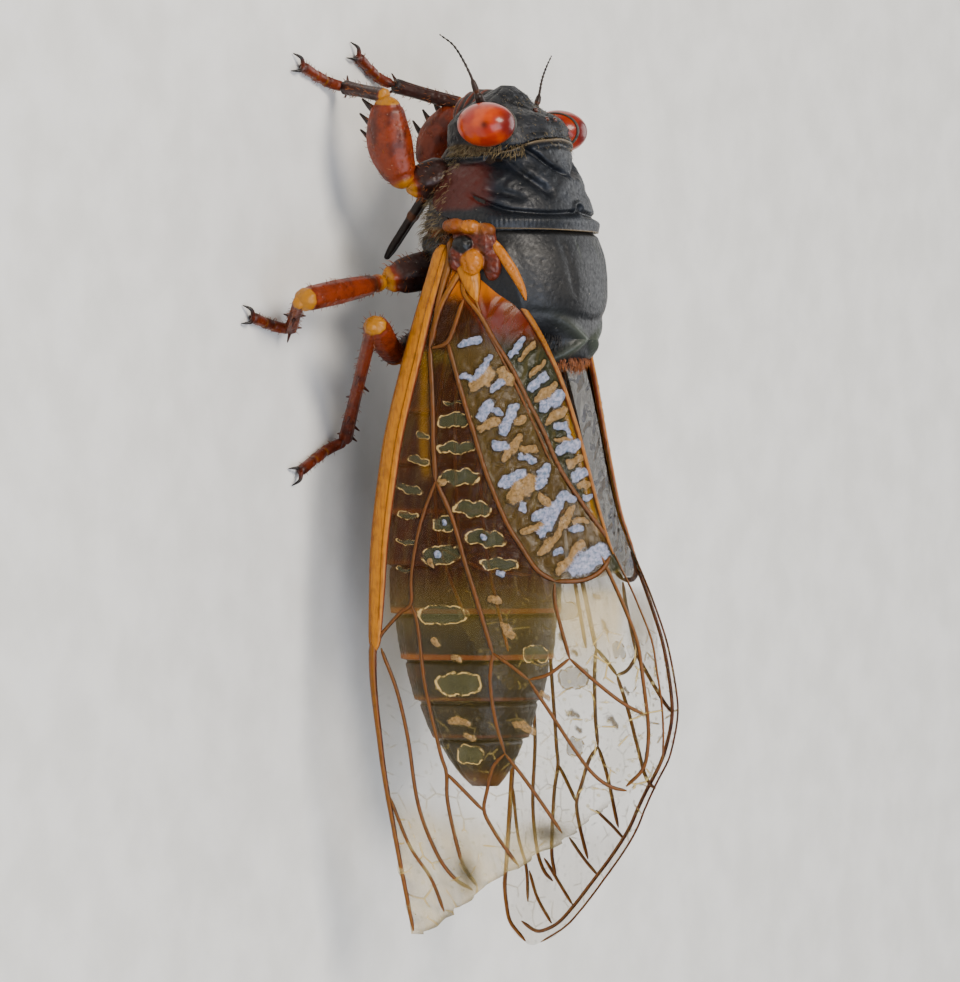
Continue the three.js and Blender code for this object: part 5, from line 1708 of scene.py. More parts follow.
@dataclass
class Wing:
    """What the front and hind wings share: a thin closed film, and veins set in both its faces."""

    side: Side
    outline: Outline
    shape: WingShape = field(default_factory=WingShape)
    depth: float = 0.0
    thick: float = 0.045
    map_mm: float = 40.0  # the map's unit square stands for this length
    vein_step: float = 0.22
    row_places: Track = Track(((0, 0), (0.1, 0.14), (0.6, 0.5), (1, 1)))  # closer where the pleats are fine

    def path(self, knots: Pairs) -> tuple[Array, Array]:
        """Back and across, in mm, along a smooth line through the knots."""
        line = Limb([(b, a, 0.0) for b, a in knots], ((0, 1), (1, 1)))
        steps = max(6, int(line.length / self.vein_step))
        spots, _ = line.middle(np.linspace(0, 1, steps + 1))
        return spots[:, 0], spots[:, 1]

    def ribbon(
        self,
        name: str,
        knots: Pairs,
        half_width: Pairs,
        half_height: Pairs,
        around: int = 10,
        rim_power: float = 2.0,
    ) -> Piece:
        """A vein with an oval section that follows the wing.

        Args:
            name: the object's name.
            knots: back and across along it, in mm.
            half_width: half its width across the wing, by the share along.
            half_height: half its height out of the wing, by the share along.
            around: points in each ring.
            rim_power: how closely the dark rim keeps to the vein's edges.

        Returns:
            The mesh object, with its rim painted.
        """
        back, across = self.path(knots)
        tread = np.linspace(0, 1, len(back))
        spot = self.shape.point(back, across, self.depth, self.side)
        _, normal = self.shape.axes(back, across)
        ahead = unit(np.gradient(spot, axis=0))
        normal = normal * np.array([self.side.value, 1, 1])
        side = unit(np.cross(normal, ahead))
        rims: list[Array] = []

        def place(along: Array, angle: Array, share: Array) -> Array:
            """Puts the cylinder's points round the line."""
            taper = np.sqrt(np.clip(np.minimum(along, 1 - along) * 2 * len(back) / 3, 0.15, 1))
            centre, left, rise = (
                np.stack([np.interp(along, tread, line[:, k]) for k in range(3)], axis=1)
                for line in (spot, side, normal)
            )
            rims.append((np.abs(np.cos(angle)) * share) ** rim_power)
            across_reach = Track(half_width)(along) * np.cos(angle) * share * taper
            out_reach = Track(half_height)(along) * np.sin(angle) * share * taper
            return centre + left * across_reach[:, None] + rise * out_reach[:, None]

        vein = closed_tube(name, around, len(back) - 1, place)
        paint(vein, "rim", rims[0])
        return vein

    def vein(self, name: str, radius: float, knots: Pairs, gold: float = 0.0) -> Piece:
        """A plain vein of one radius in mm, gilded by a share from 0 to 1."""
        even = ((0, radius), (1, radius))
        made = self.ribbon(f"{name}_{self.side.word}", knots, even, even)
        paint(made, "gold", gold)
        return made

    def film(self, name: str, columns: int, rows: int, lift: SheetPlace, ragged: SheetPlace) -> Piece:
        """The membrane as a closed film with its map in mm.

        Args:
            name: the object's name.
            columns: spans across.
            rows: spans along, set closer where the pleats are fine.
            lift: how far the pleats stand out, in mm, from back and across.
            ragged: how far the outer edge is worn in, in mm, from back and the share across.

        Returns:
            The mesh object.
        """
        start = self.outline.far.pairs[0][0]
        flat: list[Array] = []

        def place(across_share: Array, along: Array) -> Array:
            """Puts the grid's points on the wing."""
            back = start + (self.outline.end - start) * self.row_places(along)
            near, far = self.outline.near(back), self.outline.far(back)
            far = np.maximum(far - ragged(back, across_share), near + 0.05)
            across = near + (far - near) * across_share
            flat.append(np.stack([back, across], axis=1))
            return self.shape.point(back, across, self.depth + lift(back, across), self.side)

        made = sheet(name, columns, rows, place)
        mesh = made.data
        corners = np.empty(len(mesh.loops), int)
        mesh.loops.foreach_get("vertex_index", corners)
        mesh.uv_layers.remove(mesh.uv_layers[0])
        layer = mesh.uv_layers.new(name="wing_mm")
        layer.data.foreach_set("uv", (flat[0][corners] / self.map_mm).astype(np.float32).ravel())
        self.mark(made, flat[0][:, 0], flat[0][:, 1])
        close_up(made)
        apply_modifier(made, "SOLIDIFY", thickness=self.thick * MM, offset=0.0, use_rim=True)
        bpy.ops.object.shade_smooth_by_angle(angle=math.radians(60))
        return made

    def mark(self, film: Piece, back: Array, across: Array) -> None:
        """Paints where each of the membrane's markings lies."""
        # The crease number places the painted ripple highlights and the pale specks.
        paint(film, "crease", 0.4)
        paint(film, "rust", 0.6 * ease(back, 12, 9))


def glint_stroke_fields(back: Array, across: Array) -> tuple[Array, Array]:
    """How near each point of the wing is to the glinting pleats, where their reflections are painted.

    Args:
        back: mm behind the head's front.
        across: mm from the wing's front edge.

    Returns:
        1 on a pleat's line, 0.5 at its edge and 0 well off it, and 1 where the nearest pleat's painted reflection
        is warm.
    """
    near, warm_glint = np.zeros_like(back), np.zeros_like(back)
    for back_1, across_1, back_2, across_2, half, is_warm in GLINT_STROKES:
        run, climb = back_2 - back_1, across_2 - across_1
        share = np.clip(((back - back_1) * run + (across - across_1) * climb) / (run**2 + climb**2), 0, 1)
        away = np.hypot(back - back_1 - share * run, across - across_1 - share * climb)
        value = np.clip(1 - away / (2 * half * (1.32 - 0.9 * (share - 0.5) ** 2)), 0, 1)
        warm_glint = np.where(value > near, is_warm, warm_glint)
        near = np.maximum(near, value)
    return near, warm_glint


def ring_field(back: Array, across: Array) -> Array:
    """How near each point is to the middle of a swelling: 1 there, 0.5 at its edge and 0 well off it."""
    near = np.zeros_like(back)
    for middle_back, middle_across, half_long, half_wide, tilt in RINGS:
        turn = math.radians(tilt)
        along = (across - middle_across) * math.cos(turn) + (back - middle_back) * math.sin(turn)
        aside = (back - middle_back) * math.cos(turn) - (across - middle_across) * math.sin(turn)
        away = (np.abs(along / half_long) ** 2.6 + np.abs(aside / half_wide) ** 2.6) ** (1 / 2.6)
        near = np.maximum(near, np.clip(1 - away / 2, 0, 1))
    return near


@dataclass
class Forewing(Wing):
    """A front wing, with its gold front edge, its veins and the pleats between them."""

    columns: int = 126
    rows: int = 345

    def lines(self, back: Array) -> tuple[Array, Array]:
        """How far across the fold vein and the cubitus vein lie at each place along, in mm."""
        return Track(FORE_VEINS["fold"][1])(back), Track(FORE_VEINS["cubitus"][1])(back)

    def waved(self, back: Array, across: Array) -> tuple[Array, Array]:
        """The same places moved a little to and fro, so that the markings aren't too regular."""
        away_back = 0.09 * ripple(back, across, 0.9, 71) + 0.035 * ripple(back, across, 0.35, 73)
        away_across = 0.09 * ripple(back, across, 0.8, 72) + 0.035 * ripple(back, across, 0.3, 74)
        return back + away_back, across + away_across

    def mark(self, film: Piece, back: Array, across: Array) -> None:
        """Paints where each of the membrane's markings lies."""
        fold, cubitus = self.lines(back)
        beyond = ease(across - fold, -0.03, 0.06)
        within = 1 - ease(across - cubitus, -0.06, 0.03)
        closed = 1 - ease(back + 0.12 * np.maximum(across - 9.4, 0) ** 2, 22.3, 22.45)
        stretch = ease(back, 12.0, 13.0) * (1 - ease(back, 21.5, 25.5))
        outer = ease(back, 22.5, 23.2) * ease(across, 7.9, 8.8)
        glinting_pleats, warm_glint = glint_stroke_fields(*self.waved(back, across))
        worn = self.outline is WORN
        strip = bump(across, self.outline.far(back) - 0.4, 0.13 if worn else 0.32)
        inner_strip = strip * ease(back, 13.6, 14.8) * (1 - ease(back, 19.8, 20.6))
        front_strip = ease(back, 11.9, 12.6) * ease(back, 18.2, 17.4)
        front_strip = 0.6 * bump(across, 0.83 + (back - 12.3) * 0.21, 0.2) * front_strip
        root = ease(back, 12.6, 12.0)
        tip = np.hypot((back - 35.6) / 1.0, (across - 3.1) / 0.6)
        edge = np.hypot((back - 33.8) / 0.6, (across - 7.1) / 1.1)
        torn = 0.6 * bump(across, self.outline.far(back) - 0.1, 0.35) * ease(back, 32.0, 33.0)
        crumpled = ease(back - 0.25 * across, 31.5, 33.5) * (0.9 if worn else 0.3)
        marks = {
            "amber": np.maximum(within * stretch * ease(across, 0.4, 0.9), (1 - beyond) * root),
            "brown": (1 - within) * (1 - beyond) * ease(back, 11.2, 12.2) * closed,
            "olive": beyond * ease(back, 10.4, 11.4) * closed,
            "ochre": np.maximum(inner_strip, front_strip),
            "cream": np.maximum(outer * bump(back, 24.2, 2.0) * ease(across, 11.6, 10.9), crumpled),
            "rust": (1 - ease(back, 10.8, 12.3)) * ease(across - fold, -0.5, 0.0),
            "gold": (1 - ease(back, 9.3, 10.2)) * ease(across, 0.9, 1.1),
            # The crease number places the painted ripple highlights and the pale specks.
            "crease": np.maximum(outer * ease(back, 24, 26), np.maximum(0.35 * ease(back, 26, 31), crumpled)),
            # The bar and warm numbers place the painted reflections on the glinting pleats and choose their tint.
            "bar": glinting_pleats if worn else 0.75 * glinting_pleats,
            "warm_glint": warm_glint,
            "loop": ring_field(*self.waved(back, across)),
            "smoke": worn * np.maximum(0.8 * (bump(tip, 0, 0.9) + bump(edge, 0, 0.8)), torn),
        }
        for name, values in marks.items():
            paint(film, name, values)

    def pleats(self, back: Array, across: Array) -> Array:
        """How far the membrane stands in or out between the veins, in mm."""
        fold, cubitus = self.lines(back)
        glinting_pleats, _ = glint_stroke_fields(*self.waved(back, across))
        ring = ring_field(*self.waved(back, across))
        rough = ease(across - cubitus, 0.1, 0.5) * ease(back, 12.0, 13.5) * (1 - ease(back, 22, 22.5))
        lift = 0.07 * ease(glinting_pleats, 0.25, 0.8) - 0.08 * ease(ring, 0.3, 0.7)
        lift += 0.05 * ripple(back * 1.1, across * 1.3, 1.0, 8) * rough
        lift += 0.07 * ripple(back, across, 3.4, 10) * ease(back, 22, 25)
        worn = self.outline is WORN
        crumple = (0.26 if worn else 0.06) * ripple(back * 1.2, across * 0.8, 1.7, 12)
        return lift + crumple * ease(back, 32.5, 36)

    def ragged(self, back: Array, share: Array) -> Array:
        """How far the worn wing's outer edge is torn in, in mm."""
        if self.outline is not WORN:
            return np.zeros_like(back)
        large, small = (np.abs(ripple(back, 0 * back, *wave)) for wave in ((1.1, 14), (0.45, 15)))
        chips = large * 0.5 + small * 0.22
        return chips * ease(back, 30.8, 32.2) * ease(share, 0.35, 1.0)

    def edge_band(self) -> list[Piece]:
        """The front edge: a flat gold band to the node with a dark line each side, then a thin vein."""
        name = f"front_band_{self.side.word}"
        line = ((7.4, 0.25), (9, 0.3), (13, 0.34), (17, 0.36), (21, 0.34), (24.5, 0.28), (25.6, 0.25))
        wide, high = ((0, 0.4), (0.3, 0.44), (0.8, 0.38), (1, 0.22)), ((0, 0.22), (0.5, 0.18), (1, 0.14))
        band = self.ribbon(name, line, wide, high, 24, 5.0)
        paint(band, "gold", 1.0)
        raised = tuple((b, a + 0.14) for b, a in line[:-1])
        wide, high = ((0, 0.05), (1, 0.04)), ((0, 0.24), (0.5, 0.205), (1, 0.15))
        stripe = self.ribbon(name + "_line", raised, wide, high)
        outer = tuple((float(b), 0.02) for b in np.linspace(7.6, 25.4, 6))
        lower = self.ribbon(name + "_outer", outer, ((0, 0.1), (1, 0.09)), ((0, 0.14), (1, 0.12)))
        near = self.outline.near
        places = np.linspace(25.2, self.outline.end - 0.15, 18)
        rest = tuple((float(b), float(near(b)) + 0.12) for b in places)
        wide, high = ((0, 0.2), (0.3, 0.14), (1, 0.09)), ((0, 0.15), (0.5, 0.11), (1, 0.08))
        thin = self.ribbon(name + "_tip", rest, wide, high)
        for piece in (stripe, lower, thin):
            paint(piece, "gold", 0.25)
        return [band, stripe, lower, thin]

    def rear_edge(self) -> list[Piece]:
        """The thick red-gold inner edge, and the thin outer one with the vein that runs inside it."""
        far = self.outline.far
        places = (7.6, 8.6, 9.8, 11.2, 12.5, 14.2, 16.1, 18.4, 20.6, 21.3)
        inner = self.ribbon(
            f"inner_edge_{self.side.word}",
            tuple((b, float(far(b)) - 0.1) for b in places),
            ((0, 0.24), (0.3, 0.17), (0.8, 0.12), (1, 0.09)),
            ((0, 0.22), (0.3, 0.16), (1, 0.1)),
        )
        paint(inner, "gold", 0.55 if self.outline is WORN else 0.9)
        chords = (21.2, 22.5, 23.9, 25.2, 26.6, 28.5, 29.8, 30.9)
        last, close = 31.2, ((31.7, 10.9),)
        if self.outline is WHOLE:
            chords += (32.2, 33.6, 34.9, 36.2, 37.4, 38.2)
            last, close = 39.2, ((38.55, 3.2), (38.7, 2.4), (38.3, 1.4))
        ambient = tuple((b, float(far(b)) - 0.72) for b in chords) + close
        rim = tuple((float(b), float(far(b)) - 0.04) for b in np.linspace(21.2, last, 24))
        return [inner, self.vein("ambient", FINE_VEIN, ambient, 0.1), self.vein("rim", 0.05, rim, 0.1)]

    def base_plates(self) -> list[Piece]:
        """The swollen gold roots of the veins, where the wing is hinged."""
        plate = self.ribbon(
            f"root_plate_{self.side.word}",
            ((7.3, 1.2), (8.2, 1.55), (9.2, 2.1), (10.0, 2.6)),
            ((0, 0.35), (0.3, 0.6), (0.7, 0.42), (1, 0.1)),
            ((0, 0.3), (0.4, 0.32), (1, 0.1)),
            16,
            5.0,
        )
        bar = self.ribbon(
            f"root_bar_{self.side.word}",
            ((7.1, 0.5), (8.0, 0.75), (9.2, 0.8), (10.8, 0.9)),
            ((0, 0.26), (0.5, 0.16), (1, 0.1)),
            ((0, 0.26), (0.5, 0.2), (1, 0.12)),
            14,
            5.0,
        )
        paint(plate, "gold", 1.0)
        paint(bar, "gold", 0.15)
        return [plate, bar]

    def build(self, shop: Workshop) -> None:
        """Makes the wing's film and veins."""
        node = f"forewing_{self.side.word}"
        name = f"front_membrane_{self.side.word}"
        film = self.film(name, self.columns, self.rows, self.pleats, self.ragged)
        shop.install(film, "wing_membrane_chitin", Slot.WING, node)
        veins = []
        for name, (radius, knots) in FORE_VEINS.items():
            if self.outline.end > knots[-1][0]:
                vein = self.vein(name, radius, knots)
                back = read_points(vein)[:, 1] / MM - SHIFT[1]
                paint(vein, "gold", 0.45 * ease(back, 12.0, 8.5) + 0.1 * ease(back, 23, 30))
                veins.append(vein)
        if self.outline is WHOLE:
            veins += [self.vein(f"spoke_{i}", 0.08, knots, 0.1) for i, knots in enumerate(SPOKES)]
        veins += self.edge_band() + self.rear_edge() + self.base_plates()
        net = joined(f"front_veins_{self.side.word}", veins)
        shop.install(close_up(net, 70), "wing_vein_chitin", Slot.WING, node)


@dataclass
class Hindwing(Wing):
    """A hind wing, folded under the front one."""

    depth: float = -1.06
    columns: int = 60
    rows: int = 150

    def build(self, shop: Workshop) -> None:
        """Makes the wing's film and veins."""
        node = f"hindwing_{self.side.word}"

        def pleats(back: Array, across: Array) -> Array:
            """The soft folds of the resting wing, in mm."""
            return 0.08 * ripple(back, across, 2.4, 17)

        def whole(back: Array, share: Array) -> Array:
            """No wear."""
            return np.zeros_like(back)

        film = self.film(f"hind_membrane_{self.side.word}", self.columns, self.rows, pleats, whole)
        shop.install(film, "wing_membrane_chitin", Slot.WING, node)
        veins = [self.vein(f"hind_{name}", 0.09, knots, 0.2) for name, knots in HIND_VEINS.items()]
        net = joined(f"hind_veins_{self.side.word}", veins)
        shop.install(close_up(net, 70), "wing_vein_chitin", Slot.WING, node)


@dataclass
class WingHinge:
    """The knobs between the body and a front wing, grown together, and the strap along the shield."""

    side: Side
    trunk: Trunk
    knobs: tuple[tuple[Spot, Spot, float, float], ...] = (  # centre, half sizes, gilding, blackness
        ((4.75, 6.55, 7.15), (0.45, 0.36, 0.6), 0.4, 0.0),
        ((4.72, 6.6, 7.9), (0.42, 0.34, 0.55), 0.7, 0.0),
        ((4.5, 6.75, 8.6), (0.36, 0.36, 0.5), 0.5, 0.0),
        ((4.95, 7.4, 7.65), (0.32, 0.42, 0.5), 0.0, 1.0),
        ((4.55, 7.4, 8.55), (0.34, 0.5, 0.4), 0.2, 0.0),
        ((4.85, 8.2, 8.1), (0.4, 0.6, 0.5), 1.0, 0.0),
        ((4.3, 8.35, 8.85), (0.4, 0.7, 0.45), 0.1, 0.0),
        ((4.85, 8.0, 7.3), (0.4, 0.6, 0.4), 0.0, 0.1),
        ((4.35, 7.4, 7.95), (0.5, 1.25, 1.15), 0.0, 0.3),
    )
    grain: float = 0.05  # the size of the cells in which the knobs are grown together
    strap: Pairs = ((6.75, 15.0), (7.6, 21.0), (8.6, 28.5), (9.6, 34.0), (9.9, 35.0))
    strap_half: float = 0.32

    def build_plate(self) -> Piece:
        """Makes the knobs and grows them into one lumpy plate."""
        mirror = np.array([self.side.value, 1, 1])
        centres = np.array([centre for centre, _, _, _ in self.knobs]) * mirror
        halves = np.array([half for _, half, _, _ in self.knobs])
        balls = [ball("knob", centre, half, 28) for centre, half in zip(centres, halves)]
        plate = joined(f"hinge_plate_{self.side.word}", balls)
        apply_modifier(plate, "REMESH", mode="VOXEL", voxel_size=self.grain * MM)
        apply_modifier(plate, "SMOOTH", factor=0.6, iterations=14)
        points = mm_points(plate)
        away = np.linalg.norm((points[:, None, :] - centres[None]) / halves[None], axis=2)
        share = np.exp(-4 * away)
        share /= share.sum(axis=1, keepdims=True)
        swell = 0.06 * ripple(points[:, 1] * 1.5, points[:, 2] * 1.5, 0.9, 51)
        move_points(plate, points + np.array([self.side.value, 0, 0.3]) * swell[:, None])
        paint(plate, "accent", share @ np.array([gold for _, _, gold, _ in self.knobs]))
        paint(plate, "second", ease(share @ np.array([black for _, _, _, black in self.knobs]), 0.35, 0.65))
        return plate

    def build_strap(self) -> Piece:
        """Makes the flat gold strap that runs back along the shield."""

        def place(along: Array, angle: Array, share: Array) -> Array:
            """Lays the cylinder's points on the trunk."""
            back = self.strap[0][0] + (self.strap[-1][0] - self.strap[0][0]) * along
            half = self.strap_half * np.sqrt(np.clip(4 * along, 0.1, 1) * np.clip(2.2 * (1 - along), 0.03, 1))
            turn = np.radians(Track(self.strap)(back)) + half * np.cos(angle) * share / self.trunk.wide(back)
            spots = self.trunk.skin(back, turn, 0.08 + 0.14 * np.sin(angle) * share)
            return spots * np.array([self.side.value, 1, 1])

        strap = closed_tube(f"gold_strap_{self.side.word}", 18, 70, place)
        paint(strap, "accent", 0.85)
        paint(strap, "second", 0.0)
        return strap

    def build(self, shop: Workshop) -> None:
        """Makes the hinge and the strap."""
        hinge = joined(f"wing_hinge_{self.side.word}", [self.build_plate(), self.build_strap()])
        shop.install(close_up(hinge), "hinge_plate_cuticle", Slot.WING)


class LegKind(Enum):
    """Which pair a leg belongs to."""

    FORE = "fore"
    MIDDLE = "middle"
    HIND = "hind"


@dataclass(frozen=True)
class LegSize:
    """The thicknesses of one kind of leg, as radii in mm along each joint."""

    coxa: float
    femur: Pairs
    flat: float
    tibia: float


LEG_SIZES: dict[LegKind, LegSize] = {
    LegKind.FORE: LegSize(1.0, ((0, 0.5), (0.18, 0.82), (0.5, 1.08), (0.85, 0.8), (1, 0.55)), 0.8, 0.36),
    LegKind.MIDDLE: LegSize(0.95, ((0, 0.42), (0.2, 0.5), (0.6, 0.6), (0.9, 0.6), (1, 0.55)), 0.92, 0.31),
    LegKind.HIND: LegSize(0.95, ((0, 0.45), (0.3, 0.58), (0.8, 0.64), (1, 0.55)), 0.88, 0.31),
}

# Where each leg's hip, socket, knee, ankle and toe are, as out, back and height in mm.
JOINTS: dict[tuple[Side, LegKind], tuple[Spot, ...]] = {
    (Side.LEFT, LegKind.FORE): (
        (2.2, 3.9, 5.6), (3.7, 4.75, 4.1), (4.6, 0.6, 3.6), (3.4, 0.05, 0.7), (6.5, -0.75, 0.24),
    ),
    (Side.RIGHT, LegKind.FORE): (
        (-1.9, 4.7, 5.2), (-1.85, 3.9, 2.3), (-2.7, 0.65, 3.6), (-1.2, -0.3, 0.7), (1.3, -1.5, 0.24),
    ),
    (Side.LEFT, LegKind.MIDDLE): (
        (2.6, 8.2, 5.2), (4.6, 9.0, 3.4), (10.8, 10.0, 2.6), (8.3, 11.2, 0.7), (11.0, 10.7, 0.24),
    ),
    (Side.RIGHT, LegKind.MIDDLE): (
        (-2.6, 8.2, 5.2), (-4.6, 9.0, 3.4), (-10.4, 9.4, 3.0), (-8.6, 11.0, 0.7), (-11.0, 11.9, 0.24),
    ),
    (Side.LEFT, LegKind.HIND): (
        (2.2, 11.5, 4.8), (3.5, 12.5, 3.5), (7.3, 10.9, 4.4), (3.3, 16.2, 0.7), (6.7, 17.6, 0.24),
    ),
    (Side.RIGHT, LegKind.HIND): (
        (-2.2, 11.5, 4.8), (-3.5, 12.5, 3.5), (-7.1, 12.4, 4.5), (-4.2, 19.3, 0.7), (-6.7, 21.6, 0.24),
    ),
}  # fmt: skip


@dataclass
class Leg:
    """One leg: hip joint, thigh, shin and a foot of three small joints with two claws."""

    side: Side
    kind: LegKind
    claw_radius: float = 0.12
    bow: float = 0.35  # how far a fore thigh bulges down, in mm
    spine_shares: Spot = (0.42, 0.62, 0.8)
    spine_reach: Spot = (1.5, 1.3, 1.1)
    spine_way: Spot = (0, -0.25, -1.0)
    spur_counts: ClassVar[dict[LegKind, int]] = {LegKind.FORE: 0, LegKind.MIDDLE: 3, LegKind.HIND: 5}
    hair_radius: float = 0.016
    foot_radii: Pairs = (
        (0, 0.24), (0.3, 0.25), (0.36, 0.2), (0.42, 0.24), (0.56, 0.25), (0.61, 0.2), (0.67, 0.23),
        (0.9, 0.25), (1, 0.18),
    )  # fmt: skip

    def __post_init__(self) -> None:
        """Looks up the leg's joints and sizes."""
        joints = JOINTS[self.side, self.kind]
        self.hip, self.socket, self.knee, self.ankle, self.toe = (np.array(joint) for joint in joints)
        self.size = LEG_SIZES[self.kind]

    def node(self, joint: str) -> str:
        """The name of the CAD node of one of its joints."""
        return f"{self.side.word}_{self.kind.value}_{joint}"

    def hairs(self, limb: Limb, bristles: Setae, count: int, length: float) -> None:
        """Scatters short hairs on a joint."""
        draw = np.random.default_rng(count + int(1000 * abs(self.toe[0])) + int(100 * limb.length))
        along = draw.uniform(0.08, 0.95, count)
        angle = draw.uniform(0, 2 * math.pi, count)
        roots = limb.surface(along, angle)
        spot, ahead = limb.middle(along)
        where = np.stack([angle / (2 * math.pi), along * 0.9], axis=1)
        bristles.grow(roots, roots - spot, ahead, length, self.hair_radius, where)

    def build_coxa(self, shop: Workshop, bristles: Setae) -> None:
        """Makes the furrowed hip joint and the small ring after it."""
        radius = self.size.coxa
        limb = Limb((self.hip, self.socket), ((0, radius * 0.9), (0.5, radius * 0.86), (1, 0.56)))

        def rise(along: Array, angle: Array) -> Array:
            """Lengthwise furrows, in mm."""
            return 0.07 * np.sin(angle * 5 + 2 * along) * ease(along, 0.1, 0.4) - 0.1 * bump(along, 0.8, 0.06)

        coxa = limb.build(f"{self.node('coxa')}_shell", 40, 50, rise)
        share = limb.shares(coxa)
        low = ease(read_points(coxa)[:, 2] / MM, self.socket[2] + 0.5, self.socket[2] - 0.4)
        paint(coxa, "accent", 0.8 * ease(share, 0.78, 0.95))
        paint(coxa, "second", (1 - ease(share, 0.72, 0.86)) * (0.9 - 0.5 * low))
        shop.install(close_up(coxa), "rust_leg_cuticle", Slot.LEG, self.node("coxa"))
        self.hairs(limb, bristles, 90, 0.34)

    def build_femur(self, shop: Workshop, bristles: Setae) -> None:
        """Makes the thigh, with its teeth on a fore leg."""
        fore = self.kind is LegKind.FORE
        middle = (self.socket + self.knee) / 2 - np.array([0, 0, self.bow if fore else 0.05])
        limb = Limb((self.socket, middle, self.knee), self.size.femur, self.size.flat)

        def rise(along: Array, angle: Array) -> Array:
            """The ring at its root, its flat keel and fine lines, in mm."""
            lines = 0.014 * np.sin(angle * 9 + 4 * along) * ease(along, 0.1, 0.3)
            return lines - 0.09 * bump(along, 0.12, 0.03) - 0.05 * bump(along, 0.9, 0.025)

        femur = limb.build(f"{self.node('femur')}_main", 48, 80, rise)
        share = limb.shares(femur)
        ring = np.maximum(ease(share, 0.9, 0.94), 0.6 * (1 - ease(share, 0.06, 0.13)))
        paint(femur, "accent", ring)
        paint(femur, "second", 0.0 if fore else 0.75 * bump(share, 0.17, 0.06))
        pieces = [femur]
        if fore:
            axis, way = unit(self.knee - self.socket), np.array(self.spine_way)
            for reach, along in zip(self.spine_reach, self.spine_shares):
                root = limb.middle(np.array([along]))[0][0] + way * 0.4
                tip = root + unit(way + 0.6 * axis) * reach
                bow = (root + tip) / 2 + axis * -0.08
                tooth = Limb((root, bow, tip), ((0, 0.25), (0.5, 0.15), (1, 0.04)), ends=0.5)
                pieces.append(tooth.build("tooth", 14, 20))
                paint(pieces[-1], "second", 0.95 * ease(tooth.shares(pieces[-1]), 0.1, 0.5))
        thigh = joined(f"{self.node('femur')}_shell", pieces)
        shop.install(close_up(thigh), "rust_leg_cuticle", Slot.LEG, self.node("femur"))
        self.hairs(limb, bristles, 110, 0.26)

    def build_tibia(self, shop: Workshop, bristles: Setae) -> None:
        """Makes the shin, with rows of small spurs on the middle and hind legs."""
        radius = self.size.tibia
        ankle = self.ankle + unit(self.ankle - self.knee) * 0.05
        radii = ((0, radius * 1.2), (0.1, radius * 0.95), (0.6, radius * 0.85), (1, radius))
        limb = Limb((self.knee, ankle), radii)

        def rise(along: Array, angle: Array) -> Array:
            """Lengthwise lines, in mm."""
            return 0.015 * np.sin(angle * 8)

        tibia = limb.build(f"{self.node('tibia')}_main", 32, 60, rise)
        share = limb.shares(tibia)
        paint(tibia, "accent", 0.85 * (1 - ease(share, 0.04, 0.1)))
        dark = 0.85 if self.kind is LegKind.FORE else 0.3
        paint(tibia, "second", dark * ease(share, 0.05, 0.12) + 0.25 * ease(share, 0.8, 1.0))
        pieces = [tibia]
        count = self.spur_counts[self.kind]
        axis = ankle - self.knee
        for i in range(count + 3):
            along = 0.42 + 0.11 * i if i < count else 0.95
            turn = i * 2.1
            side, up = limb.axes(unit(axis)[None, :])
            away = side[0] * math.cos(turn) + up[0] * math.sin(turn)
            root = self.knee + axis * along + away * radius * 0.7
            tip = root + unit(away + 0.9 * unit(axis)) * 0.5
            tip[2] = max(tip[2], 0.1)
            spur = Limb((root, tip), ((0, 0.09), (1, 0.025)), ends=0.5)
            pieces.append(spur.build("spur", 8, 6))
            paint(pieces[-1], "second", 0.7)
        shin = joined(f"{self.node('tibia')}_shell", pieces)
        shop.install(close_up(shin), "rust_leg_cuticle", Slot.LEG, self.node("tibia"))
        self.hairs(limb, bristles, 80, 0.24)

    def build_tarsus(self, shop: Workshop, bristles: Setae) -> None:
        """Makes the foot."""
        instep = self.ankle * 0.7 + self.toe * 0.3
        instep[2] = 0.3
        forward = unit((self.toe - instep) * np.array([1, 1, 0]))
        sideways = np.array([-forward[1], forward[0], 0])
        limb = Limb((self.ankle, instep, self.toe), self.foot_radii)

        def rise(along: Array, angle: Array) -> Array:
            """The soft pads under its joints, in mm."""
            pads = bump(along, 0.33, 0.04) + bump(along, 0.58, 0.04)
            return 0.03 * pads * (np.sin(angle) < 0)

        pieces = [limb.build(f"{self.node('tarsus')}_main", 24, 60, rise)]
        share = limb.shares(pieces[0])
        paint(pieces[0], "accent", 0.5 * (bump(share, 0.36, 0.03) + bump(share, 0.61, 0.03)))
        paint(pieces[0], "second", 0.3 + 0.45 * ease(share, 0.85, 1.0))
        for way in (1, -1):
            root = self.toe - forward * 0.12 + np.array([0, 0, 0.03])
            tip = self.toe + forward * 0.6 + sideways * 0.42 * way
            tip[2] = 0.07
            bow = (root + tip) / 2 + np.array([0, 0, 0.17]) + sideways * 0.08 * way
            claw = Limb((root, bow, tip), ((0, self.claw_radius), (0.5, 0.085), (1, 0.02)), ends=0.5)
            pieces.append(claw.build("claw", 12, 18))
            paint(pieces[-1], "second", 0.4 + 0.6 * ease(claw.shares(pieces[-1]), 0.1, 0.6))
        foot = joined(f"{self.node('tarsus')}_shell", pieces)
        shop.install(close_up(foot), "rust_leg_cuticle", Slot.LEG, self.node("tarsus"))
        self.hairs(limb, bristles, 50, 0.2)

    def build(self, shop: Workshop, bristles: Setae) -> None:
        """Makes the whole leg and adds its hairs to the bristles."""
        self.build_coxa(shop, bristles)
        self.build_femur(shop, bristles)
        self.build_tibia(shop, bristles)
        self.build_tarsus(shop, bristles)


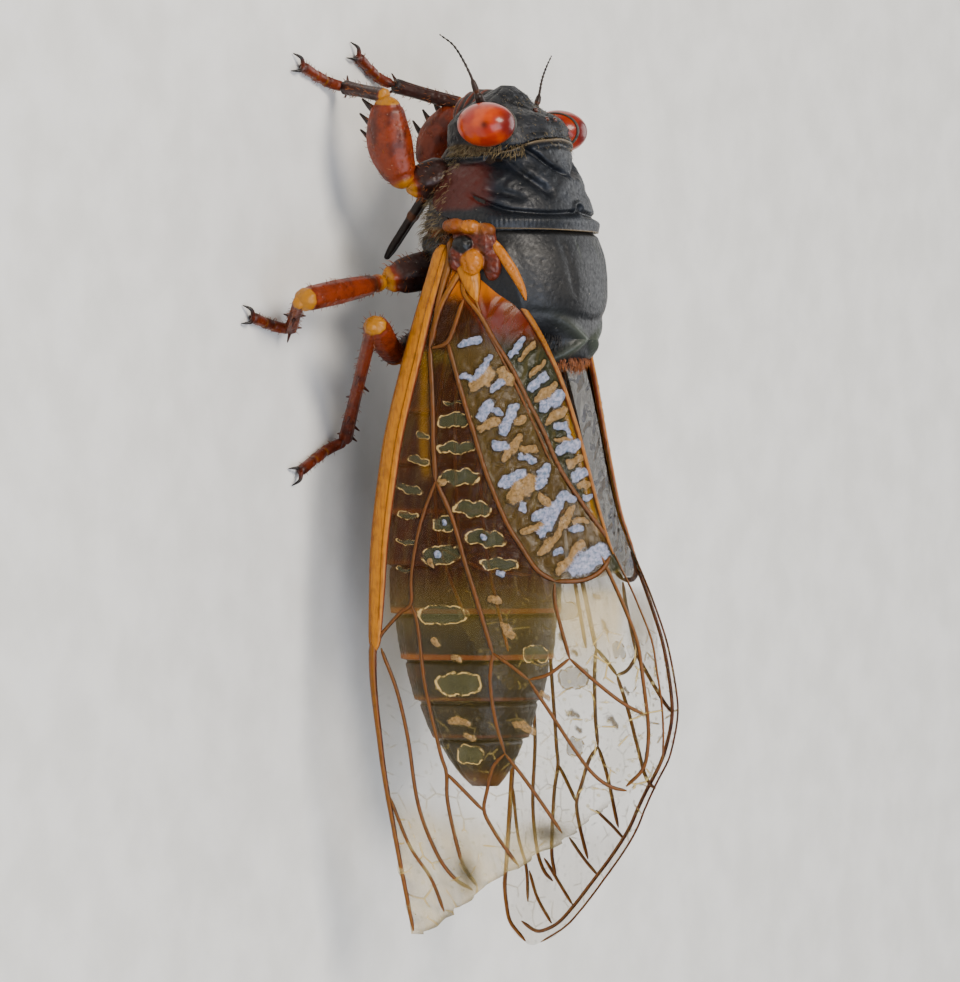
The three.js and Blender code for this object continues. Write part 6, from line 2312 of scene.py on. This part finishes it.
@dataclass
class Coat:
    """The hairs of the head, thorax and shield."""

    trunk: Trunk

    def build(self, shop: Workshop) -> None:
        """Makes the pale fuzz, the black hairs and the rust fringe."""
        pale = Setae("pale_fuzz", "pale_setae", Slot.SHELL, 60)
        black = Setae("black_hairs", "dark_setae", Slot.SHELL, 61)
        rust = Setae("rust_fringe", "rust_setae", Slot.SHELL, 62)
        over = TrunkHair(self.trunk, 63)
        over.scatter(pale, (2.75, 3.3), (-40, 46), 700, 0.34, 0.014, -0.1)
        over.scatter(pale, (3.3, 7.0), (-70, -14), 700, 0.5, 0.015, -0.18)
        over.scatter(pale, (7.0, 12.6), (-80, -10), 800, 0.5, 0.015, -0.18)
        over.scatter(pale, (0.5, 2.9), (30, 90), 220, 0.2, 0.01, -0.05)
        over.scatter(black, (0.3, 2.9), (10, 90), 260, 0.26, 0.012, -0.05)
        over.scatter(black, (11.3, 12.6), (30, 72), 700, 0.4, 0.016, -0.3)
        over.scatter(rust, (12.35, 12.8), (30, 90), 420, 0.45, 0.016, -0.1)
        over.scatter(rust, (6.6, 7.6), (-30, 12), 160, 0.36, 0.014, -0.15)
        for hairs in (pale, black, rust):
            hairs.build(shop)


@dataclass
class Studio:
    """The pale floor, the soft lights and the camera."""

    aim: Spot = (1.08, 18.45, 6.5)
    elevation: float = 28.0
    distance: float = 300.0
    sensor: float = 36.0

    def build_floor(self, shop: Workshop) -> None:
        """Lays the card that the model stands on."""
        deselect_all()
        bpy.ops.mesh.primitive_plane_add(size=3.0, location=(0, 0, 0))
        floor = named("studio_floor")
        in_edit_mode(
            floor,
            lambda: bpy.ops.mesh.select_all(action="SELECT"),
            lambda: bpy.ops.mesh.subdivide(number_cuts=8),
        )
        floor.data.materials.append(shop.made["pale_studio_card"])

    def add_light(self, name: str, spot: Vector, size: float, power: float, colour: str) -> None:
        """Hangs a soft square light that faces the model.

        Args:
            name: the light's name.
            spot: its place in metres.
            size: its side in metres.
            power: its power in watts.
            colour: its colour as sRGB hex.
        """
        lamp = bpy.data.lights.new(name, "AREA")
        lamp.shape = "SQUARE"
        lamp.size = size
        lamp.energy = power
        lamp.color = linear(colour)[:3]
        held = bpy.data.objects.new(name, lamp)
        bpy.context.scene.collection.objects.link(held)
        held.location = spot
        aim = Vector(in_frame(np.array(self.aim)))
        held.rotation_euler = (aim - spot).to_track_quat("-Z", "Y").to_euler()

    def build_lights(self) -> None:
        """Hangs the lights and sets the pale surroundings."""
        self.add_light("key_softbox", Vector((0.12, -0.16, 0.34)), 0.16, 1.7, "#FFF6EA")
        self.add_light("sky_softbox", Vector((0.2, 0.14, 0.3)), 0.3, 1.3, "#E6EEFF")
        self.add_light("far_fill", Vector((-0.35, -0.05, 0.22)), 0.3, 0.8, "#FFFFFF")
        world = bpy.data.worlds.new("pale_room")
        bpy.context.scene.world = world
        world.use_nodes = True
        world.node_tree.nodes.clear()
        sky = add_node(world.node_tree, "Background", {"Color": linear("#DDE3EA"), "Strength": 0.3})
        add_node(world.node_tree, "OutputWorld", {"Surface": sky})

    def build_camera(self) -> None:
        """Sets the camera at the photograph's angle, with the animal's head at the top of the picture."""
        angle = math.radians(self.elevation)
        away = Vector((math.cos(angle), 0.0, math.sin(angle)))
        right = Vector((-math.sin(angle), 0.0, math.cos(angle)))
        lens = bpy.data.cameras.new("camera")
        lens.sensor_fit = "VERTICAL"
        lens.sensor_height = self.sensor
        lens.lens = self.sensor * self.distance / (IMAGE_HEIGHT_PIXELS / PIXELS_PER_MM)
        lens.clip_start = 0.02
        lens.clip_end = 20.0
        camera = bpy.data.objects.new("camera", lens)
        bpy.context.scene.collection.objects.link(camera)
        turn = Matrix((right, Vector((0, -1, 0)), away)).transposed()
        camera.matrix_world = turn.to_4x4()
        camera.location = Vector(in_frame(np.array(self.aim))) + away * self.distance * MM
        bpy.context.scene.camera = camera

    def build(self, shop: Workshop) -> None:
        """Sets up the whole studio."""
        self.build_floor(shop)
        self.build_lights()
        self.build_camera()


def main() -> None:
    """Builds every sub-assembly in order."""
    logging.basicConfig(level=logging.INFO, format="%(message)s")
    shop = Workshop()
    trunk = Trunk()
    Head(trunk).build(shop)
    Beak().build(shop)
    Pronotum(trunk).build(shop)
    Mesonotum(trunk).build(shop)
    Flanks(trunk).build(shop)
    Abdomen(trunk).build(shop)
    bristles = Setae("leg_bristles", "rust_setae", Slot.LEG, 70)
    for side in Side:
        Eye(side).build(shop)
        Feeler(side).build(shop)
        WingHinge(side, trunk).build(shop)
        Forewing(side, WORN if side is Side.LEFT else WHOLE).build(shop)
        Hindwing(side, UNDER).build(shop)
        for kind in LegKind:
            Leg(side, kind).build(shop, bristles)
    bristles.build(shop)
    Coat(trunk).build(shop)
    Studio().build(shop)


SHIFT = frame_shift()

if __name__ == "__main__":
    main()
